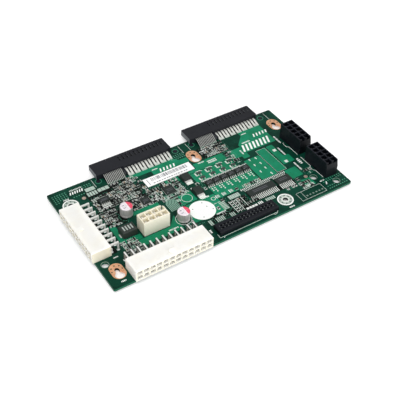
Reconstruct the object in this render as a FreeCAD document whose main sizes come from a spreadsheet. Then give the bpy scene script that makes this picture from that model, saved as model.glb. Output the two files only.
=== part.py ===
import FreeCAD, Part
import os
import Sketcher

# Driving dimensions, in millimetres, grouped by the piece they shape
DIMENSIONS = {
    # Circuit board, and how far the edge connectors stand out past it
    "board_width": 172.0,
    "board_depth": 89.8,
    "board_thick": 1.6,
    "board_corner": 1.0,
    "tail_length": 1.4,
    "side_overhang": 1.4,
    "front_overhang": 1.3,
    "rear_overhang": 8.3,
    # Mounting keyholes: round entry toward the front, narrow slot toward the rear
    "keyhole_entry": 6.2,
    "keyhole_slot": 2.8,
    "keyhole_travel": 3.8,
    # Round mounting holes and small holes
    "mount_hole": 3.4,
    "tool_hole": 4.2,
    "peg_hole": 2.2,
    # Rear receptacles for the plug-in supplies
    "psu_left": 33.5,
    "psu_pitch": 69.9,
    "psu_width": 54.8,
    "psu_depth": 12.0,
    "psu_height": 3.8,
    "psu_mouth_low": 0.9,
    "psu_mouth_high": 2.8,
    "psu_mouth_depth": 2.2,
    "psu_room_low": 0.5,
    "psu_room_high": 3.2,
    "psu_wall": 2.6,
    "psu_end_wall": 1.4,
    "psu_key_left": 17.9,
    "psu_key_wide": 1.5,
    "psu_rib_reach": 5.5,
    "psu_rib_high": 2.2,
    "psu_edge": 0.5,
    # Cooling slots in the receptacle's roof
    "vent_count": 12,
    "vent_pitch": 2.87,
    "vent_first": 19.5,
    "vent_wide": 1.35,
    "vent_front": 5.8,
    "vent_rear": 9.6,
    # Formed signal contacts, in two rows half a pitch apart
    "signal_count": 12,
    "signal_pitch": 1.1,
    "signal_first": 4.6,
    "signal_wide": 0.5,
    "signal_thick": 0.3,
    "signal_room": 0.1,
    "upper_contact": 2.6,
    "lower_contact": 0.8,
    "upper_toe": 6.7,
    "upper_knee": 1.2,
    "lower_toe": 3.3,
    "lower_knee": 0.7,
    "contact_reach": 8.8,
    # Power contacts, each a pair of blades
    "power_count": 7,
    "power_pitch": 4.8,
    "power_first": 19.8,
    "power_wide": 3.8,
    "power_blade": 1.45,
    "power_thick": 0.6,
    "power_toe": 6.1,
    "power_knee": 1.4,
    "power_contact": 0.85,
    "power_room": 0.1,
    # Headers, all on one pin pitch
    "pin_pitch": 4.2,
    "pin_side": 1.0,
    "pin_setback": 1.6,
    "cavity_wide": 3.5,
    "cavity_cut": 0.9,
    # Right-angle headers on the front and left edges
    "angle_height": 8.0,
    "angle_depth": 12.5,
    "angle_end": 2.6,
    "angle_low": 2.25,
    "angle_high": 5.75,
    "angle_cavity": 2.9,
    "angle_cavity_depth": 9.3,
    "angle_tail_low": 13.8,
    "angle_tail_high": 18.1,
    "angle_edge": 0.4,
    "latch_wide": 3.4,
    "latch_long": 3.2,
    "latch_high": 0.9,
    "latch_setback": 1.6,
    "front_header_count": 12,
    "front_header_left": 13.4,
    "side_header_count": 10,
    "side_header_rear": 66.6,
    # Upright headers
    "upright_end": 2.45,
    "upright_cavity_depth": 8.8,
    "upright_taper": 1.0,
    "upright_taper_low": 6.6,
    "upright_rows": 2,
    "centre_header_height": 10.6,
    "centre_header_count": 4,
    "centre_header_left": 34.7,
    "centre_header_front": 26.8,
    "centre_header_cut": 1.8,
    "right_header_height": 11.6,
    "right_header_count": 5,
    "right_header_left": 159.6,
    "right_front_header": 11.3,
    "right_rear_header": 38.9,
    # Low two-row socket
    "socket_left": 73.2,
    "socket_front": 3.3,
    "socket_width": 42.8,
    "socket_depth": 8.0,
    "socket_height": 3.2,
    "socket_row": 2.9,
    "socket_row_pitch": 2.2,
    "socket_slot": 1.1,
    "socket_slot_end": 1.6,
    "socket_slot_depth": 2.4,
    "socket_edge": 0.3,
    # Can capacitors
    "can_radius": 4.0,
    "can_top": 6.9,
    "can_round": 0.4,
    "can_lead": 0.6,
    "can_lead_pitch": 3.5,
    "left_can_x": 34.8,
    "left_can_y": 49.3,
    "right_can_x": 62.2,
    "right_can_y": 27.4,
    # Moulded power inductor
    "inductor_left": 22.9,
    "inductor_front": 31.2,
    "inductor_width": 9.5,
    "inductor_depth": 6.8,
    "inductor_height": 4.9,
    "inductor_edge": 0.5,
    "inductor_base": 0.2,
    "terminal_wide": 3.0,
    "terminal_reach": 0.7,
    # Row of driver ICs
    "driver_count": 6,
    "driver_pitch": 5.6,
    "driver_left": 90.4,
    "driver_front": 44.2,
    "driver_width": 4.9,
    "driver_depth": 3.9,
    "driver_height": 1.6,
    # Long fine-pitch ICs
    "bus_left": 107.6,
    "bus_front": 21.6,
    "bus_depth": 5.4,
    "bus_height": 1.2,
    "bus_long": 20.4,
    "bus_short": 11.2,
    "bus_gap": 1.4,
    # Memory IC near the left header
    "memory_left": 25.0,
    "memory_front": 64.6,
    "memory_width": 7.0,
    "memory_depth": 4.4,
    # Moulding shared by the ICs: gap below the body and slope of its sides
    "stand_off": 0.1,
    "ic_draft": 6.0,
    # Square controller ICs without leads
    "square_height": 0.9,
    "large_square_left": 64.6,
    "large_square_front": 50.8,
    "large_square_side": 6.8,
    "small_square_left": 47.6,
    "small_square_front": 50.6,
    "small_square_side": 5.6,
    # Power transistors, tab toward the front
    "power_ic_left": 79.6,
    "rear_power_ic": 55.4,
    "front_power_ic": 40.6,
    "power_ic_width": 6.0,
    "power_ic_depth": 6.0,
    "power_ic_height": 2.3,
    "power_tab_wide": 4.6,
    "power_tab_reach": 1.8,
    "power_tab_thick": 0.5,
    "power_leg_wide": 0.8,
    "power_leg_pitch": 4.4,
    "power_leg_reach": 1.6,
    # Small transistors, four groups of two in line
    "small_count": 4,
    "small_pitch": 7.9,
    "small_left": 91.0,
    "small_front": 52.6,
    "small_width": 2.9,
    "small_depth": 1.4,
    "small_height": 1.0,
    "small_row": 4.6,
    # Paper label
    "label_left": 58.0,
    "label_front": 63.3,
    "label_width": 34.8,
    "label_depth": 7.9,
    "label_thick": 0.1,
}

# Places on the board, as (from the left edge, from the front edge)
KEYHOLES = [(8.3, 8.6), (98.7, 71.3), (164.9, 71.3)]
MOUNT_HOLES = [(9.2, 73.7), (125.4, 8.8)]
TOOL_HOLES = [(4.4, 19.3), (153.7, 16.2), (164.3, 5.9)]
PEG_HOLES = [(33.7, 84.9), (90.9, 84.9), (103.6, 84.9), (160.8, 84.9)]


class Size:
    """A length that carries both its number and the sheet formula that gives it."""

    def __init__(self, number, formula):
        self.number = number
        self.formula = formula

    def __add__(self, other):
        return join(self, "+", other, self.number + plain(other))

    def __radd__(self, other):
        return join(other, "+", self, plain(other) + self.number)

    def __sub__(self, other):
        return join(self, "-", other, self.number - plain(other))

    def __rsub__(self, other):
        return join(other, "-", self, plain(other) - self.number)

    def __mul__(self, other):
        return join(self, "*", other, self.number * plain(other))

    def __rmul__(self, other):
        return join(other, "*", self, plain(other) * self.number)

    def __truediv__(self, other):
        return join(self, "/", other, self.number / plain(other))

    def __neg__(self):
        return Size(-self.number, "-(" + self.formula + ")")


def plain(size):
    """The number of a Size, or the number itself."""
    return size.number if isinstance(size, Size) else float(size)


def join(left, sign, right, number):
    """Two sizes joined by one arithmetic sign."""
    texts = [item.formula if isinstance(item, Size) else repr(float(item)) for item in (left, right)]
    return Size(number, "(" + texts[0] + " " + sign + " " + texts[1] + ")")


class Dimensions:
    """The spreadsheet's cells, read by name as sizes."""

    def __init__(self, doc):
        self.sheet = doc.addObject("Spreadsheet::Sheet", "Dims")
        for row, (name, number) in enumerate(DIMENSIONS.items(), start=1):
            self.sheet.set("A%d" % row, name)
            self.sheet.set("B%d" % row, repr(number))
            self.sheet.setAlias("B%d" % row, name)
        doc.recompute()

    def __getattr__(self, name):
        return Size(float(DIMENSIONS[name]), "Dims." + name)


doc = FreeCAD.newDocument("backplane")
dims = Dimensions(doc)
sub_parts = []

# The board's front left top corner, seen from the middle of the whole part's footprint at floor level
BOARD_LEFT = (dims.side_overhang - dims.board_width) / 2
BOARD_FRONT = (dims.front_overhang - dims.board_depth - dims.rear_overhang) / 2
BOARD_TOP = dims.tail_length + dims.board_thick


def bind(item, field, size):
    """Set a property from a size, and keep it tied to the sheet."""
    if isinstance(size, Size):
        item.setExpression(field, size.formula)
    elif "." in field:
        item.setExpression(field, repr(float(size)))
    else:
        setattr(item, field, size)


def place(item, x, y, z=0.0, turn=0.0):
    """Put a sub-part at a place measured from the board's front left top corner."""
    item.Placement = FreeCAD.Placement(
        FreeCAD.Vector(), FreeCAD.Rotation(FreeCAD.Vector(0, 0, 1), turn))
    bind(item, "Placement.Base.x", BOARD_LEFT + x)
    bind(item, "Placement.Base.y", BOARD_FRONT + y)
    bind(item, "Placement.Base.z", BOARD_TOP + z)


def new_body(label, x, y, z=0.0, turn=0.0):
    """An empty body, placed on the board."""
    body = doc.addObject("PartDesign::Body", label)
    body.Label = label
    place(body, x, y, z, turn)
    sub_parts.append(body)
    return body


def pin_point(drawing, line, position, x, y):
    """Hold one sketch point at its two distances from the sketch origin."""
    for kind, axis, size in (("DistanceX", -2, x), ("DistanceY", -1, y)):
        number = plain(size)
        if abs(number) < 1e-9:
            drawing.addConstraint(Sketcher.Constraint("PointOnObject", line, position, axis))
            continue
        held = drawing.addConstraint(Sketcher.Constraint(kind, -1, 1, line, position, number))
        if isinstance(size, Size):
            drawing.setExpression("Constraints[%d]" % held, size.formula)


def draw_outline(drawing, corners):
    """A closed outline of straight edges."""
    first = drawing.GeometryCount
    count = len(corners)
    points = [FreeCAD.Vector(plain(x), plain(y), 0) for x, y in corners]
    for step in range(count):
        drawing.addGeometry(Part.LineSegment(points[step], points[(step + 1) % count]), False)
    for step in range(count):
        following = first + (step + 1) % count
        drawing.addConstraint(Sketcher.Constraint("Coincident", first + step, 2, following, 1))
    for step, (x, y) in enumerate(corners):
        pin_point(drawing, first + step, 1, x, y)


def draw_circle(drawing, x, y, radius):
    """A full circle at a place."""
    centre = FreeCAD.Vector(plain(x), plain(y), 0)
    ring = drawing.addGeometry(Part.Circle(centre, FreeCAD.Vector(0, 0, 1), plain(radius)), False)
    pin_point(drawing, ring, 3, x, y)
    held = drawing.addConstraint(Sketcher.Constraint("Radius", ring, plain(radius)))
    if isinstance(radius, Size):
        drawing.setExpression("Constraints[%d]" % held, radius.formula)


def new_sketch(body, plane, lift=0.0, outlines=(), circles=()):
    """A sketch on one of the body's own planes, lifted along that plane's normal."""
    drawing = body.newObject("Sketcher::SketchObject", body.Label + "_sketch")
    support = [item for item in body.Origin.OriginFeatures if item.Role == plane][0]
    drawing.AttachmentSupport = [(support, "")]
    drawing.MapMode = "FlatFace"
    bind(drawing, "AttachmentOffset.Base.z", lift)
    for corners in outlines:
        draw_outline(drawing, corners)
    for x, y, radius in circles:
        draw_circle(drawing, x, y, radius)
    return drawing


def box_outline(left, low, width, height):
    """The four corners of a rectangle."""
    return [(left, low), (left + width, low), (left + width, low + height), (left, low + height)]


def pad(body, drawing, length, reverse=False, draft=None):
    """Raise a sketch into a solid."""
    feature = body.newObject("PartDesign::Pad", body.Label + "_pad")
    feature.Profile = drawing
    feature.Reversed = reverse
    bind(feature, "Length", length)
    if draft is not None:
        bind(feature, "TaperAngle", draft)
    body.Tip = feature
    return feature


def pocket(body, drawing, depth, reverse=False):
    """Cut a sketch into the solid, and make sure that it took something away."""
    doc.recompute()
    before = body.Shape.Volume
    feature = body.newObject("PartDesign::Pocket", body.Label + "_pocket")
    feature.Profile = drawing
    feature.Reversed = reverse
    bind(feature, "Length", depth)
    body.Tip = feature
    doc.recompute()
    if body.Shape.Volume >= before - 1e-6:
        raise RuntimeError("a pocket in " + body.Label + " cuts nothing")
    return feature


def repeat(body, feature, drawing, runs):
    """Copy a feature along one or two of its sketch's axes: (axis, pitch, count) each."""
    pattern = body.newObject("PartDesign::LinearPattern", body.Label + "_pattern")
    pattern.Originals = [feature]
    for ending, (axis, pitch, count) in zip(("", "2"), runs):
        setattr(pattern, "Direction" + ending, (drawing, [axis]))
        bind(pattern, "Length" + ending, (count - 1) * pitch)
        bind(pattern, "Occurrences" + ending, count)
    body.Tip = pattern
    return pattern


def soften(body, kind, size, chosen):
    """Round or bevel the edges that a test picks out."""
    doc.recompute()
    base = body.Tip
    edges = ["Edge%d" % (n + 1) for n, edge in enumerate(base.Shape.Edges) if chosen(edge)]
    feature = body.newObject("PartDesign::" + kind, body.Label + "_" + kind.lower())
    feature.Base = (base, edges)
    bind(feature, "Radius" if kind == "Fillet" else "Size", size)
    body.Tip = feature
    return feature


def is_upright(edge):
    """True for a straight edge that runs along Z."""
    ends = [vertex.Point for vertex in edge.Vertexes]
    return len(ends) == 2 and abs(ends[0].x - ends[1].x) < 1e-6 and abs(ends[0].y - ends[1].y) < 1e-6


def lies_at(height):
    """A test for edges that lie wholly at one height."""
    def test(edge):
        return all(abs(vertex.Point.z - plain(height)) < 1e-6 for vertex in edge.Vertexes)
    return test


# Circuit board

def pin_rows(start_x, start_y, across, across_count, along, along_count):
    """A block of square pin holes: first hole's corner, then pitch and count both ways."""
    half = dims.pin_side / 2
    return (start_x - half, start_y - half, across, across_count, along, along_count)


def header_holes():
    """Every header's pin holes, where its tails go through the board."""
    row_step = dims.angle_tail_high - dims.angle_tail_low
    upright = dims.upright_end
    front_x = dims.front_header_left + dims.angle_end
    front_y = dims.angle_tail_low - dims.front_overhang
    side_x = dims.angle_tail_low - dims.side_overhang
    side_y = dims.side_header_rear - dims.angle_end - (dims.side_header_count - 1) * dims.pin_pitch
    right_x = dims.right_header_left + upright
    yield pin_rows(front_x, front_y, dims.pin_pitch, dims.front_header_count, row_step, 2)
    yield pin_rows(side_x, side_y, row_step, 2, dims.pin_pitch, dims.side_header_count)
    yield pin_rows(dims.centre_header_left + upright, dims.centre_header_front + upright,
                   dims.pin_pitch, dims.centre_header_count, dims.pin_pitch, dims.upright_rows)
    for front in (dims.right_front_header, dims.right_rear_header):
        yield pin_rows(right_x, front + upright,
                       dims.pin_pitch, dims.upright_rows, dims.pin_pitch, dims.right_header_count)


def can_lead_corners():
    """The corner of each square capacitor lead."""
    for x, y in ((dims.left_can_x, dims.left_can_y), (dims.right_can_x, dims.right_can_y)):
        for side in (-0.5, 0.5):
            yield (x + side * dims.can_lead_pitch - dims.can_lead / 2, y - dims.can_lead / 2)


def cut_keyholes(body):
    """Cut the three keyholes: the entry, the slot and the slot's round end."""
    entry = [(x, y, dims.keyhole_entry / 2) for x, y in KEYHOLES]
    finish = [(x, y + dims.keyhole_travel, dims.keyhole_slot / 2) for x, y in KEYHOLES]
    slots = [box_outline(x - dims.keyhole_slot / 2, y, dims.keyhole_slot, dims.keyhole_travel)
             for x, y in KEYHOLES]
    pocket(body, new_sketch(body, "XY_Plane", circles=entry), dims.board_thick)
    pocket(body, new_sketch(body, "XY_Plane", circles=finish), dims.board_thick)
    pocket(body, new_sketch(body, "XY_Plane", outlines=slots), dims.board_thick)


def circuit_board():
    body = new_body("circuit_board", 0.0, 0.0)
    plate = box_outline(0.0, 0.0, dims.board_width, dims.board_depth)
    pad(body, new_sketch(body, "XY_Plane", outlines=[plate]), dims.board_thick, reverse=True)
    soften(body, "Fillet", dims.board_corner, is_upright)
    cut_keyholes(body)
    round_holes = [(x, y, dims.mount_hole / 2) for x, y in MOUNT_HOLES]
    round_holes += [(x, y, dims.tool_hole / 2) for x, y in TOOL_HOLES]
    round_holes += [(x, y, dims.peg_hole / 2) for x, y in PEG_HOLES]
    pocket(body, new_sketch(body, "XY_Plane", circles=round_holes), dims.board_thick)
    for left, front, across, across_count, along, along_count in header_holes():
        hole = box_outline(left, front, dims.pin_side, dims.pin_side)
        drawing = new_sketch(body, "XY_Plane", outlines=[hole])
        first = pocket(body, drawing, dims.board_thick)
        repeat(body, first, drawing, [("H_Axis", across, across_count), ("V_Axis", along, along_count)])
    leads = [box_outline(left, front, dims.can_lead, dims.can_lead) for left, front in can_lead_corners()]
    pocket(body, new_sketch(body, "XY_Plane", outlines=leads), dims.board_thick)


# Rear receptacles

def receptacle_housing(side, left):
    body = new_body(side + "_psu_housing", left, dims.board_depth + dims.rear_overhang - dims.psu_depth)
    block = box_outline(0.0, 0.0, dims.psu_width, dims.psu_depth)
    pad(body, new_sketch(body, "XY_Plane", outlines=[block]), dims.psu_height)
    soften(body, "Chamfer", dims.psu_edge, is_upright)
    rib = box_outline(dims.psu_key_left, -dims.psu_rib_reach, dims.psu_key_wide, dims.psu_rib_reach)
    pad(body, new_sketch(body, "XY_Plane", outlines=[rib]), dims.psu_rib_high)
    power_left = dims.psu_key_left + dims.psu_key_wide
    halls = [(dims.psu_end_wall, dims.psu_key_left - dims.psu_end_wall),
             (power_left, dims.psu_width - dims.psu_end_wall - power_left)]
    mouth = [box_outline(x, dims.psu_mouth_low, wide, dims.psu_mouth_high - dims.psu_mouth_low)
             for x, wide in halls]
    room = [box_outline(x, dims.psu_room_low, wide, dims.psu_room_high - dims.psu_room_low)
            for x, wide in halls]
    inner = dims.psu_depth - dims.psu_mouth_depth
    pocket(body, new_sketch(body, "XZ_Plane", -dims.psu_depth, outlines=mouth), dims.psu_mouth_depth, True)
    pocket(body, new_sketch(body, "XZ_Plane", -inner, outlines=room), inner - dims.psu_wall, True)
    signal_run = (dims.signal_count - 0.5) * dims.signal_pitch + dims.signal_wide + 2 * dims.signal_room
    signal_left = dims.signal_first - dims.signal_wide / 2 - dims.signal_room
    windows = [box_outline(signal_left, low - dims.signal_room,
                           signal_run, dims.signal_thick + 2 * dims.signal_room)
               for low in (dims.upper_contact, dims.lower_contact)]
    pocket(body, new_sketch(body, "XZ_Plane", outlines=windows), dims.psu_wall)
    notch = box_outline(dims.power_first - dims.power_room, dims.power_contact - dims.power_room,
                        dims.power_wide + 2 * dims.power_room, dims.power_thick + 2 * dims.power_room)
    drawing = new_sketch(body, "XZ_Plane", outlines=[notch])
    repeat(body, pocket(body, drawing, dims.psu_wall), drawing,
           [("H_Axis", dims.power_pitch, dims.power_count)])
    vent = box_outline(dims.vent_first, dims.vent_front, dims.vent_wide, dims.vent_rear - dims.vent_front)
    drawing = new_sketch(body, "XY_Plane", dims.psu_height, outlines=[vent])
    repeat(body, pocket(body, drawing, dims.psu_height - dims.psu_room_high), drawing,
           [("H_Axis", dims.vent_pitch, dims.vent_count)])


def formed_ribbon(toe, knee, height, thick):
    """The side view of a contact: a leg up from the board, and a beam into the housing."""
    reach = dims.contact_reach
    return [(-toe, 0.0), (thick - toe, 0.0), (-knee, height), (reach, height),
            (reach, height + thick), (-knee - thick / 2, height + thick)]


def contact_row(body, first, ribbon, wide, pitch, count):
    """A row of like contacts, cut from one ribbon shape."""
    drawing = new_sketch(body, "YZ_Plane", first, outlines=[ribbon])
    repeat(body, pad(body, drawing, wide), drawing, [("N_Axis", pitch, count)])


def receptacle_contacts(side, left):
    front = dims.board_depth + dims.rear_overhang - dims.psu_depth
    signals = new_body(side + "_psu_signal_contacts", left, front)
    first = dims.signal_first - dims.signal_wide / 2
    upper = formed_ribbon(dims.upper_toe, dims.upper_knee, dims.upper_contact, dims.signal_thick)
    lower = formed_ribbon(dims.lower_toe, dims.lower_knee, dims.lower_contact, dims.signal_thick)
    for shift, ribbon in ((0.0, upper), (dims.signal_pitch / 2, lower)):
        contact_row(signals, first + shift, ribbon, dims.signal_wide, dims.signal_pitch, dims.signal_count)
    powers = new_body(side + "_psu_power_contacts", left, front)
    ribbon = formed_ribbon(dims.power_toe, dims.power_knee, dims.power_contact, dims.power_thick)
    for shift in (0.0, dims.power_wide - dims.power_blade):
        contact_row(powers, dims.power_first + shift, ribbon,
                    dims.power_blade, dims.power_pitch, dims.power_count)


# Headers

def cut_corners(left, low, width, height, cut):
    """A rectangle with its two upper corners cut off, as a polarised cavity has."""
    right = left + width
    top = low + height
    return [(left, low), (right, low), (right, top - cut), (right - cut, top),
            (left + cut, top), (left, top - cut)]


def right_angle_header(name, count, x, y, turn):
    """A header whose cavities face outwards over the board's edge, with pins bent down behind it."""
    width = (count - 1) * dims.pin_pitch + 2 * dims.angle_end
    body = new_body(name + "_housing", x, y, 0.0, turn)
    block = box_outline(0.0, 0.0, width, dims.angle_depth)
    pad(body, new_sketch(body, "XY_Plane", outlines=[block]), dims.angle_height)
    soften(body, "Chamfer", dims.angle_edge, lies_at(dims.angle_height))
    wedge = [(dims.latch_setback, dims.angle_height),
             (dims.latch_setback + dims.latch_long, dims.angle_height),
             (dims.latch_setback + dims.latch_long, dims.angle_height + dims.latch_high)]
    pad(body, new_sketch(body, "YZ_Plane", (width - dims.latch_wide) / 2, outlines=[wedge]), dims.latch_wide)
    left = dims.angle_end - dims.cavity_wide / 2
    low = dims.angle_low - dims.angle_cavity / 2
    high = dims.angle_high - dims.angle_cavity / 2
    second = left + dims.pin_pitch
    size = (dims.cavity_wide, dims.angle_cavity)
    cavities = [box_outline(left, low, *size), cut_corners(left, high, *size, dims.cavity_cut),
                cut_corners(second, low, *size, dims.cavity_cut), box_outline(second, high, *size)]
    drawing = new_sketch(body, "XZ_Plane", outlines=cavities)
    repeat(body, pocket(body, drawing, dims.angle_cavity_depth), drawing,
           [("H_Axis", 2 * dims.pin_pitch, count / 2)])
    half = dims.pin_side / 2
    holes = [box_outline(dims.angle_end - half, row - half, dims.pin_side, dims.pin_side)
             for row in (dims.angle_low, dims.angle_high)]
    drawing = new_sketch(body, "XZ_Plane", outlines=holes)
    repeat(body, pocket(body, drawing, dims.angle_depth), drawing, [("H_Axis", dims.pin_pitch, count)])

    pins = new_body(name + "_pins", x, y, 0.0, turn)
    foot = -dims.board_thick - dims.tail_length
    bends = []
    for row, tail in ((dims.angle_low, dims.angle_tail_low), (dims.angle_high, dims.angle_tail_high)):
        bends.append([(dims.pin_setback, row - half), (tail - half, row - half), (tail - half, foot),
                      (tail + half, foot), (tail + half, row + half), (dims.pin_setback, row + half)])
    drawing = new_sketch(pins, "YZ_Plane", dims.angle_end - half, outlines=bends)
    repeat(pins, pad(pins, drawing, dims.pin_side), drawing, [("N_Axis", dims.pin_pitch, count)])


def upright_header(name, across, along, x, y, height, shape):
    """A header whose cavities open upwards, with straight pins through the board."""
    width = (across - 1) * dims.pin_pitch + 2 * dims.upright_end
    depth = (along - 1) * dims.pin_pitch + 2 * dims.upright_end
    body = new_body(name + "_housing", x, y)
    shape(body, width, depth, height)
    corner = dims.upright_end - dims.cavity_wide / 2
    runs = [("H_Axis", dims.pin_pitch, across), ("V_Axis", dims.pin_pitch, along)]
    cavity = box_outline(corner, corner, dims.cavity_wide, dims.cavity_wide)
    drawing = new_sketch(body, "XY_Plane", height, outlines=[cavity])
    repeat(body, pocket(body, drawing, dims.upright_cavity_depth), drawing, runs)
    start = dims.upright_end - dims.pin_side / 2
    square = box_outline(start, start, dims.pin_side, dims.pin_side)
    drawing = new_sketch(body, "XY_Plane", height, outlines=[square])
    repeat(body, pocket(body, drawing, height), drawing, runs)

    pins = new_body(name + "_pins", x, y)
    foot = dims.board_thick + dims.tail_length
    drawing = new_sketch(pins, "XY_Plane", -foot, outlines=[square])
    repeat(pins, pad(pins, drawing, foot + height - dims.pin_setback), drawing, runs)


def clipped_block(body, width, depth, height):
    """An upright block with its rear right corner cut off."""
    cut = dims.centre_header_cut
    outline = [(0.0, 0.0), (width, 0.0), (width, depth - cut), (width - cut, depth), (0.0, depth)]
    pad(body, new_sketch(body, "XY_Plane", outlines=[outline]), height)


def tapered_block(body, width, depth, height):
    """An upright block whose front end leans back near the top."""
    outline = [(0.0, 0.0), (depth, 0.0), (depth, height),
               (dims.upright_taper, height), (0.0, dims.upright_taper_low)]
    pad(body, new_sketch(body, "YZ_Plane", outlines=[outline]), width)


# Low socket

def low_socket():
    body = new_body("low_socket_housing", dims.socket_left, dims.socket_front)
    block = box_outline(0.0, 0.0, dims.socket_width, dims.socket_depth)
    pad(body, new_sketch(body, "XY_Plane", outlines=[block]), dims.socket_height)
    soften(body, "Chamfer", dims.socket_edge, lies_at(dims.socket_height))
    length = dims.socket_width - 2 * dims.socket_slot_end
    slots = [box_outline(dims.socket_slot_end, row - dims.socket_slot / 2, length, dims.socket_slot)
             for row in (dims.socket_row, dims.socket_row + dims.socket_row_pitch)]
    drawing = new_sketch(body, "XY_Plane", dims.socket_height, outlines=slots)
    pocket(body, drawing, dims.socket_slot_depth)


# Can capacitors

def capacitor(side, x, y):
    """A sealed can, with its top edge rounded off."""
    can = new_body(side + "_capacitor_can", x, y)
    radius = dims.can_radius
    shoulder = dims.can_top - dims.can_round
    wall = [(0.0, 0.0), (radius, 0.0), (radius, shoulder),
            (radius - dims.can_round, dims.can_top), (0.0, dims.can_top)]
    drawing = new_sketch(can, "XZ_Plane", outlines=[wall])
    turned = can.newObject("PartDesign::Revolution", can.Label + "_revolution")
    turned.Profile = drawing
    turned.ReferenceAxis = (drawing, ["V_Axis"])
    turned.Angle = 360.0
    can.Tip = turned


def capacitor_leads():
    body = new_body("capacitor_leads", 0.0, 0.0)
    foot = dims.board_thick + dims.tail_length
    squares = [box_outline(left, front, dims.can_lead, dims.can_lead) for left, front in can_lead_corners()]
    pad(body, new_sketch(body, "XY_Plane", -foot, outlines=squares), foot)


# Moulded inductor

def inductor():
    body = new_body("power_inductor", dims.inductor_left, dims.inductor_front)
    block = box_outline(0.0, 0.0, dims.inductor_width, dims.inductor_depth)
    pad(body, new_sketch(body, "XY_Plane", dims.inductor_base, outlines=[block]),
        dims.inductor_height - dims.inductor_base)
    soften(body, "Chamfer", dims.inductor_edge, lies_at(dims.inductor_height))
    terminals = new_body("inductor_terminals", dims.inductor_left, dims.inductor_front)
    front = (dims.inductor_depth - dims.terminal_wide) / 2
    length = dims.inductor_width / 4 + dims.terminal_reach
    plates = [box_outline(-dims.terminal_reach, front, length, dims.terminal_wide),
              box_outline(dims.inductor_width * 0.75, front, length, dims.terminal_wide)]
    pad(terminals, new_sketch(terminals, "XY_Plane", outlines=plates), dims.inductor_base)


# Integrated circuits

def moulded_rows(label, x, y, height, outlines, runs=None):
    """Black moulded bodies on short stand-offs; those made one by one have drafted sides."""
    body = new_body(label, x, y)
    drawing = new_sketch(body, "XY_Plane", dims.stand_off, outlines=outlines)
    slope = None if runs else -dims.ic_draft
    block = pad(body, drawing, height - dims.stand_off, draft=slope)
    if runs:
        repeat(body, block, drawing, runs)
    return body


def driver_ics():
    outline = box_outline(0.0, 0.0, dims.driver_width, dims.driver_depth)
    moulded_rows("driver_ics", dims.driver_left, dims.driver_front, dims.driver_height, [outline],
                 [("H_Axis", dims.driver_pitch, dims.driver_count)])


def bus_ics():
    second = dims.bus_long + dims.bus_gap
    outlines = [box_outline(0.0, 0.0, dims.bus_long, dims.bus_depth),
                box_outline(second, 0.0, dims.bus_short, dims.bus_depth)]
    moulded_rows("bus_ics", dims.bus_left, dims.bus_front, dims.bus_height, outlines)


def memory_ic():
    outline = box_outline(0.0, 0.0, dims.memory_width, dims.memory_depth)
    moulded_rows("memory_ic", dims.memory_left, dims.memory_front, dims.driver_height, [outline])


def square_ic(label, x, y, side):
    moulded_rows(label, x, y, dims.square_height, [box_outline(0.0, 0.0, side, side)])


def power_transistors():
    fronts = (dims.rear_power_ic, dims.front_power_ic)
    left = dims.power_ic_left
    blocks = [box_outline(0.0, front, dims.power_ic_width, dims.power_ic_depth) for front in fronts]
    moulded_rows("power_transistors", left, 0.0, dims.power_ic_height, blocks)
    tabs = new_body("power_transistor_tabs", left, 0.0)
    middle = dims.power_ic_width / 2
    plates = [box_outline(middle - dims.power_tab_wide / 2, front - dims.power_tab_reach,
                          dims.power_tab_wide, dims.power_tab_reach) for front in fronts]
    legs = [box_outline(middle + side * dims.power_leg_pitch / 2 - dims.power_leg_wide / 2,
                        front + dims.power_ic_depth, dims.power_leg_wide, dims.power_leg_reach)
            for front in fronts for side in (-1.0, 1.0)]
    pad(tabs, new_sketch(tabs, "XY_Plane", outlines=plates + legs), dims.power_tab_thick)


def small_transistors():
    blocks = [box_outline(0.0, row, dims.small_width, dims.small_depth) for row in (0.0, dims.small_row)]
    moulded_rows("small_transistors", dims.small_left, dims.small_front, dims.small_height, blocks,
                 [("H_Axis", dims.small_pitch, dims.small_count)])


# Label

def paper_label():
    body = new_body("paper_label", dims.label_left, dims.label_front)
    sheet = box_outline(0.0, 0.0, dims.label_width, dims.label_depth)
    pad(body, new_sketch(body, "XY_Plane", outlines=[sheet]), dims.label_thick)


circuit_board()
for side, left in (("left", dims.psu_left), ("right", dims.psu_left + dims.psu_pitch)):
    receptacle_housing(side, left)
    receptacle_contacts(side, left)
right_angle_header("front_header", dims.front_header_count, dims.front_header_left, -dims.front_overhang, 0.0)
right_angle_header("side_header", dims.side_header_count, -dims.side_overhang, dims.side_header_rear, -90.0)
upright_header("centre_header", dims.centre_header_count, dims.upright_rows,
               dims.centre_header_left, dims.centre_header_front, dims.centre_header_height, clipped_block)
for name, front in (("right_front_header", dims.right_front_header),
                    ("right_rear_header", dims.right_rear_header)):
    upright_header(name, dims.upright_rows, dims.right_header_count,
                   dims.right_header_left, front, dims.right_header_height, tapered_block)
low_socket()
capacitor("left", dims.left_can_x, dims.left_can_y)
capacitor("right", dims.right_can_x, dims.right_can_y)
capacitor_leads()
inductor()
driver_ics()
bus_ics()
memory_ic()
square_ic("large_controller_ic", dims.large_square_left, dims.large_square_front, dims.large_square_side)
square_ic("small_controller_ic", dims.small_square_left, dims.small_square_front, dims.small_square_side)
power_transistors()
small_transistors()
paper_label()

# Check every object, then write each sub-part

doc.recompute()
for item in doc.Objects:
    if "Invalid" in item.State or "Error" in item.State:
        raise RuntimeError(item.Label + " did not build: " + ", ".join(item.State))
os.makedirs("parts", exist_ok=True)
for item in sub_parts:
    if item.Shape.isNull() or not item.Shape.isValid():
        raise RuntimeError(item.Label + " has no valid shape")
    item.Shape.exportStep("parts/" + item.Label + ".step")
    print(item.Label, len(item.Shape.Solids), round(item.Shape.Volume, 1))
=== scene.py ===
import math
import random

import bmesh
import bpy
from mathutils import Matrix, Vector


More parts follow.
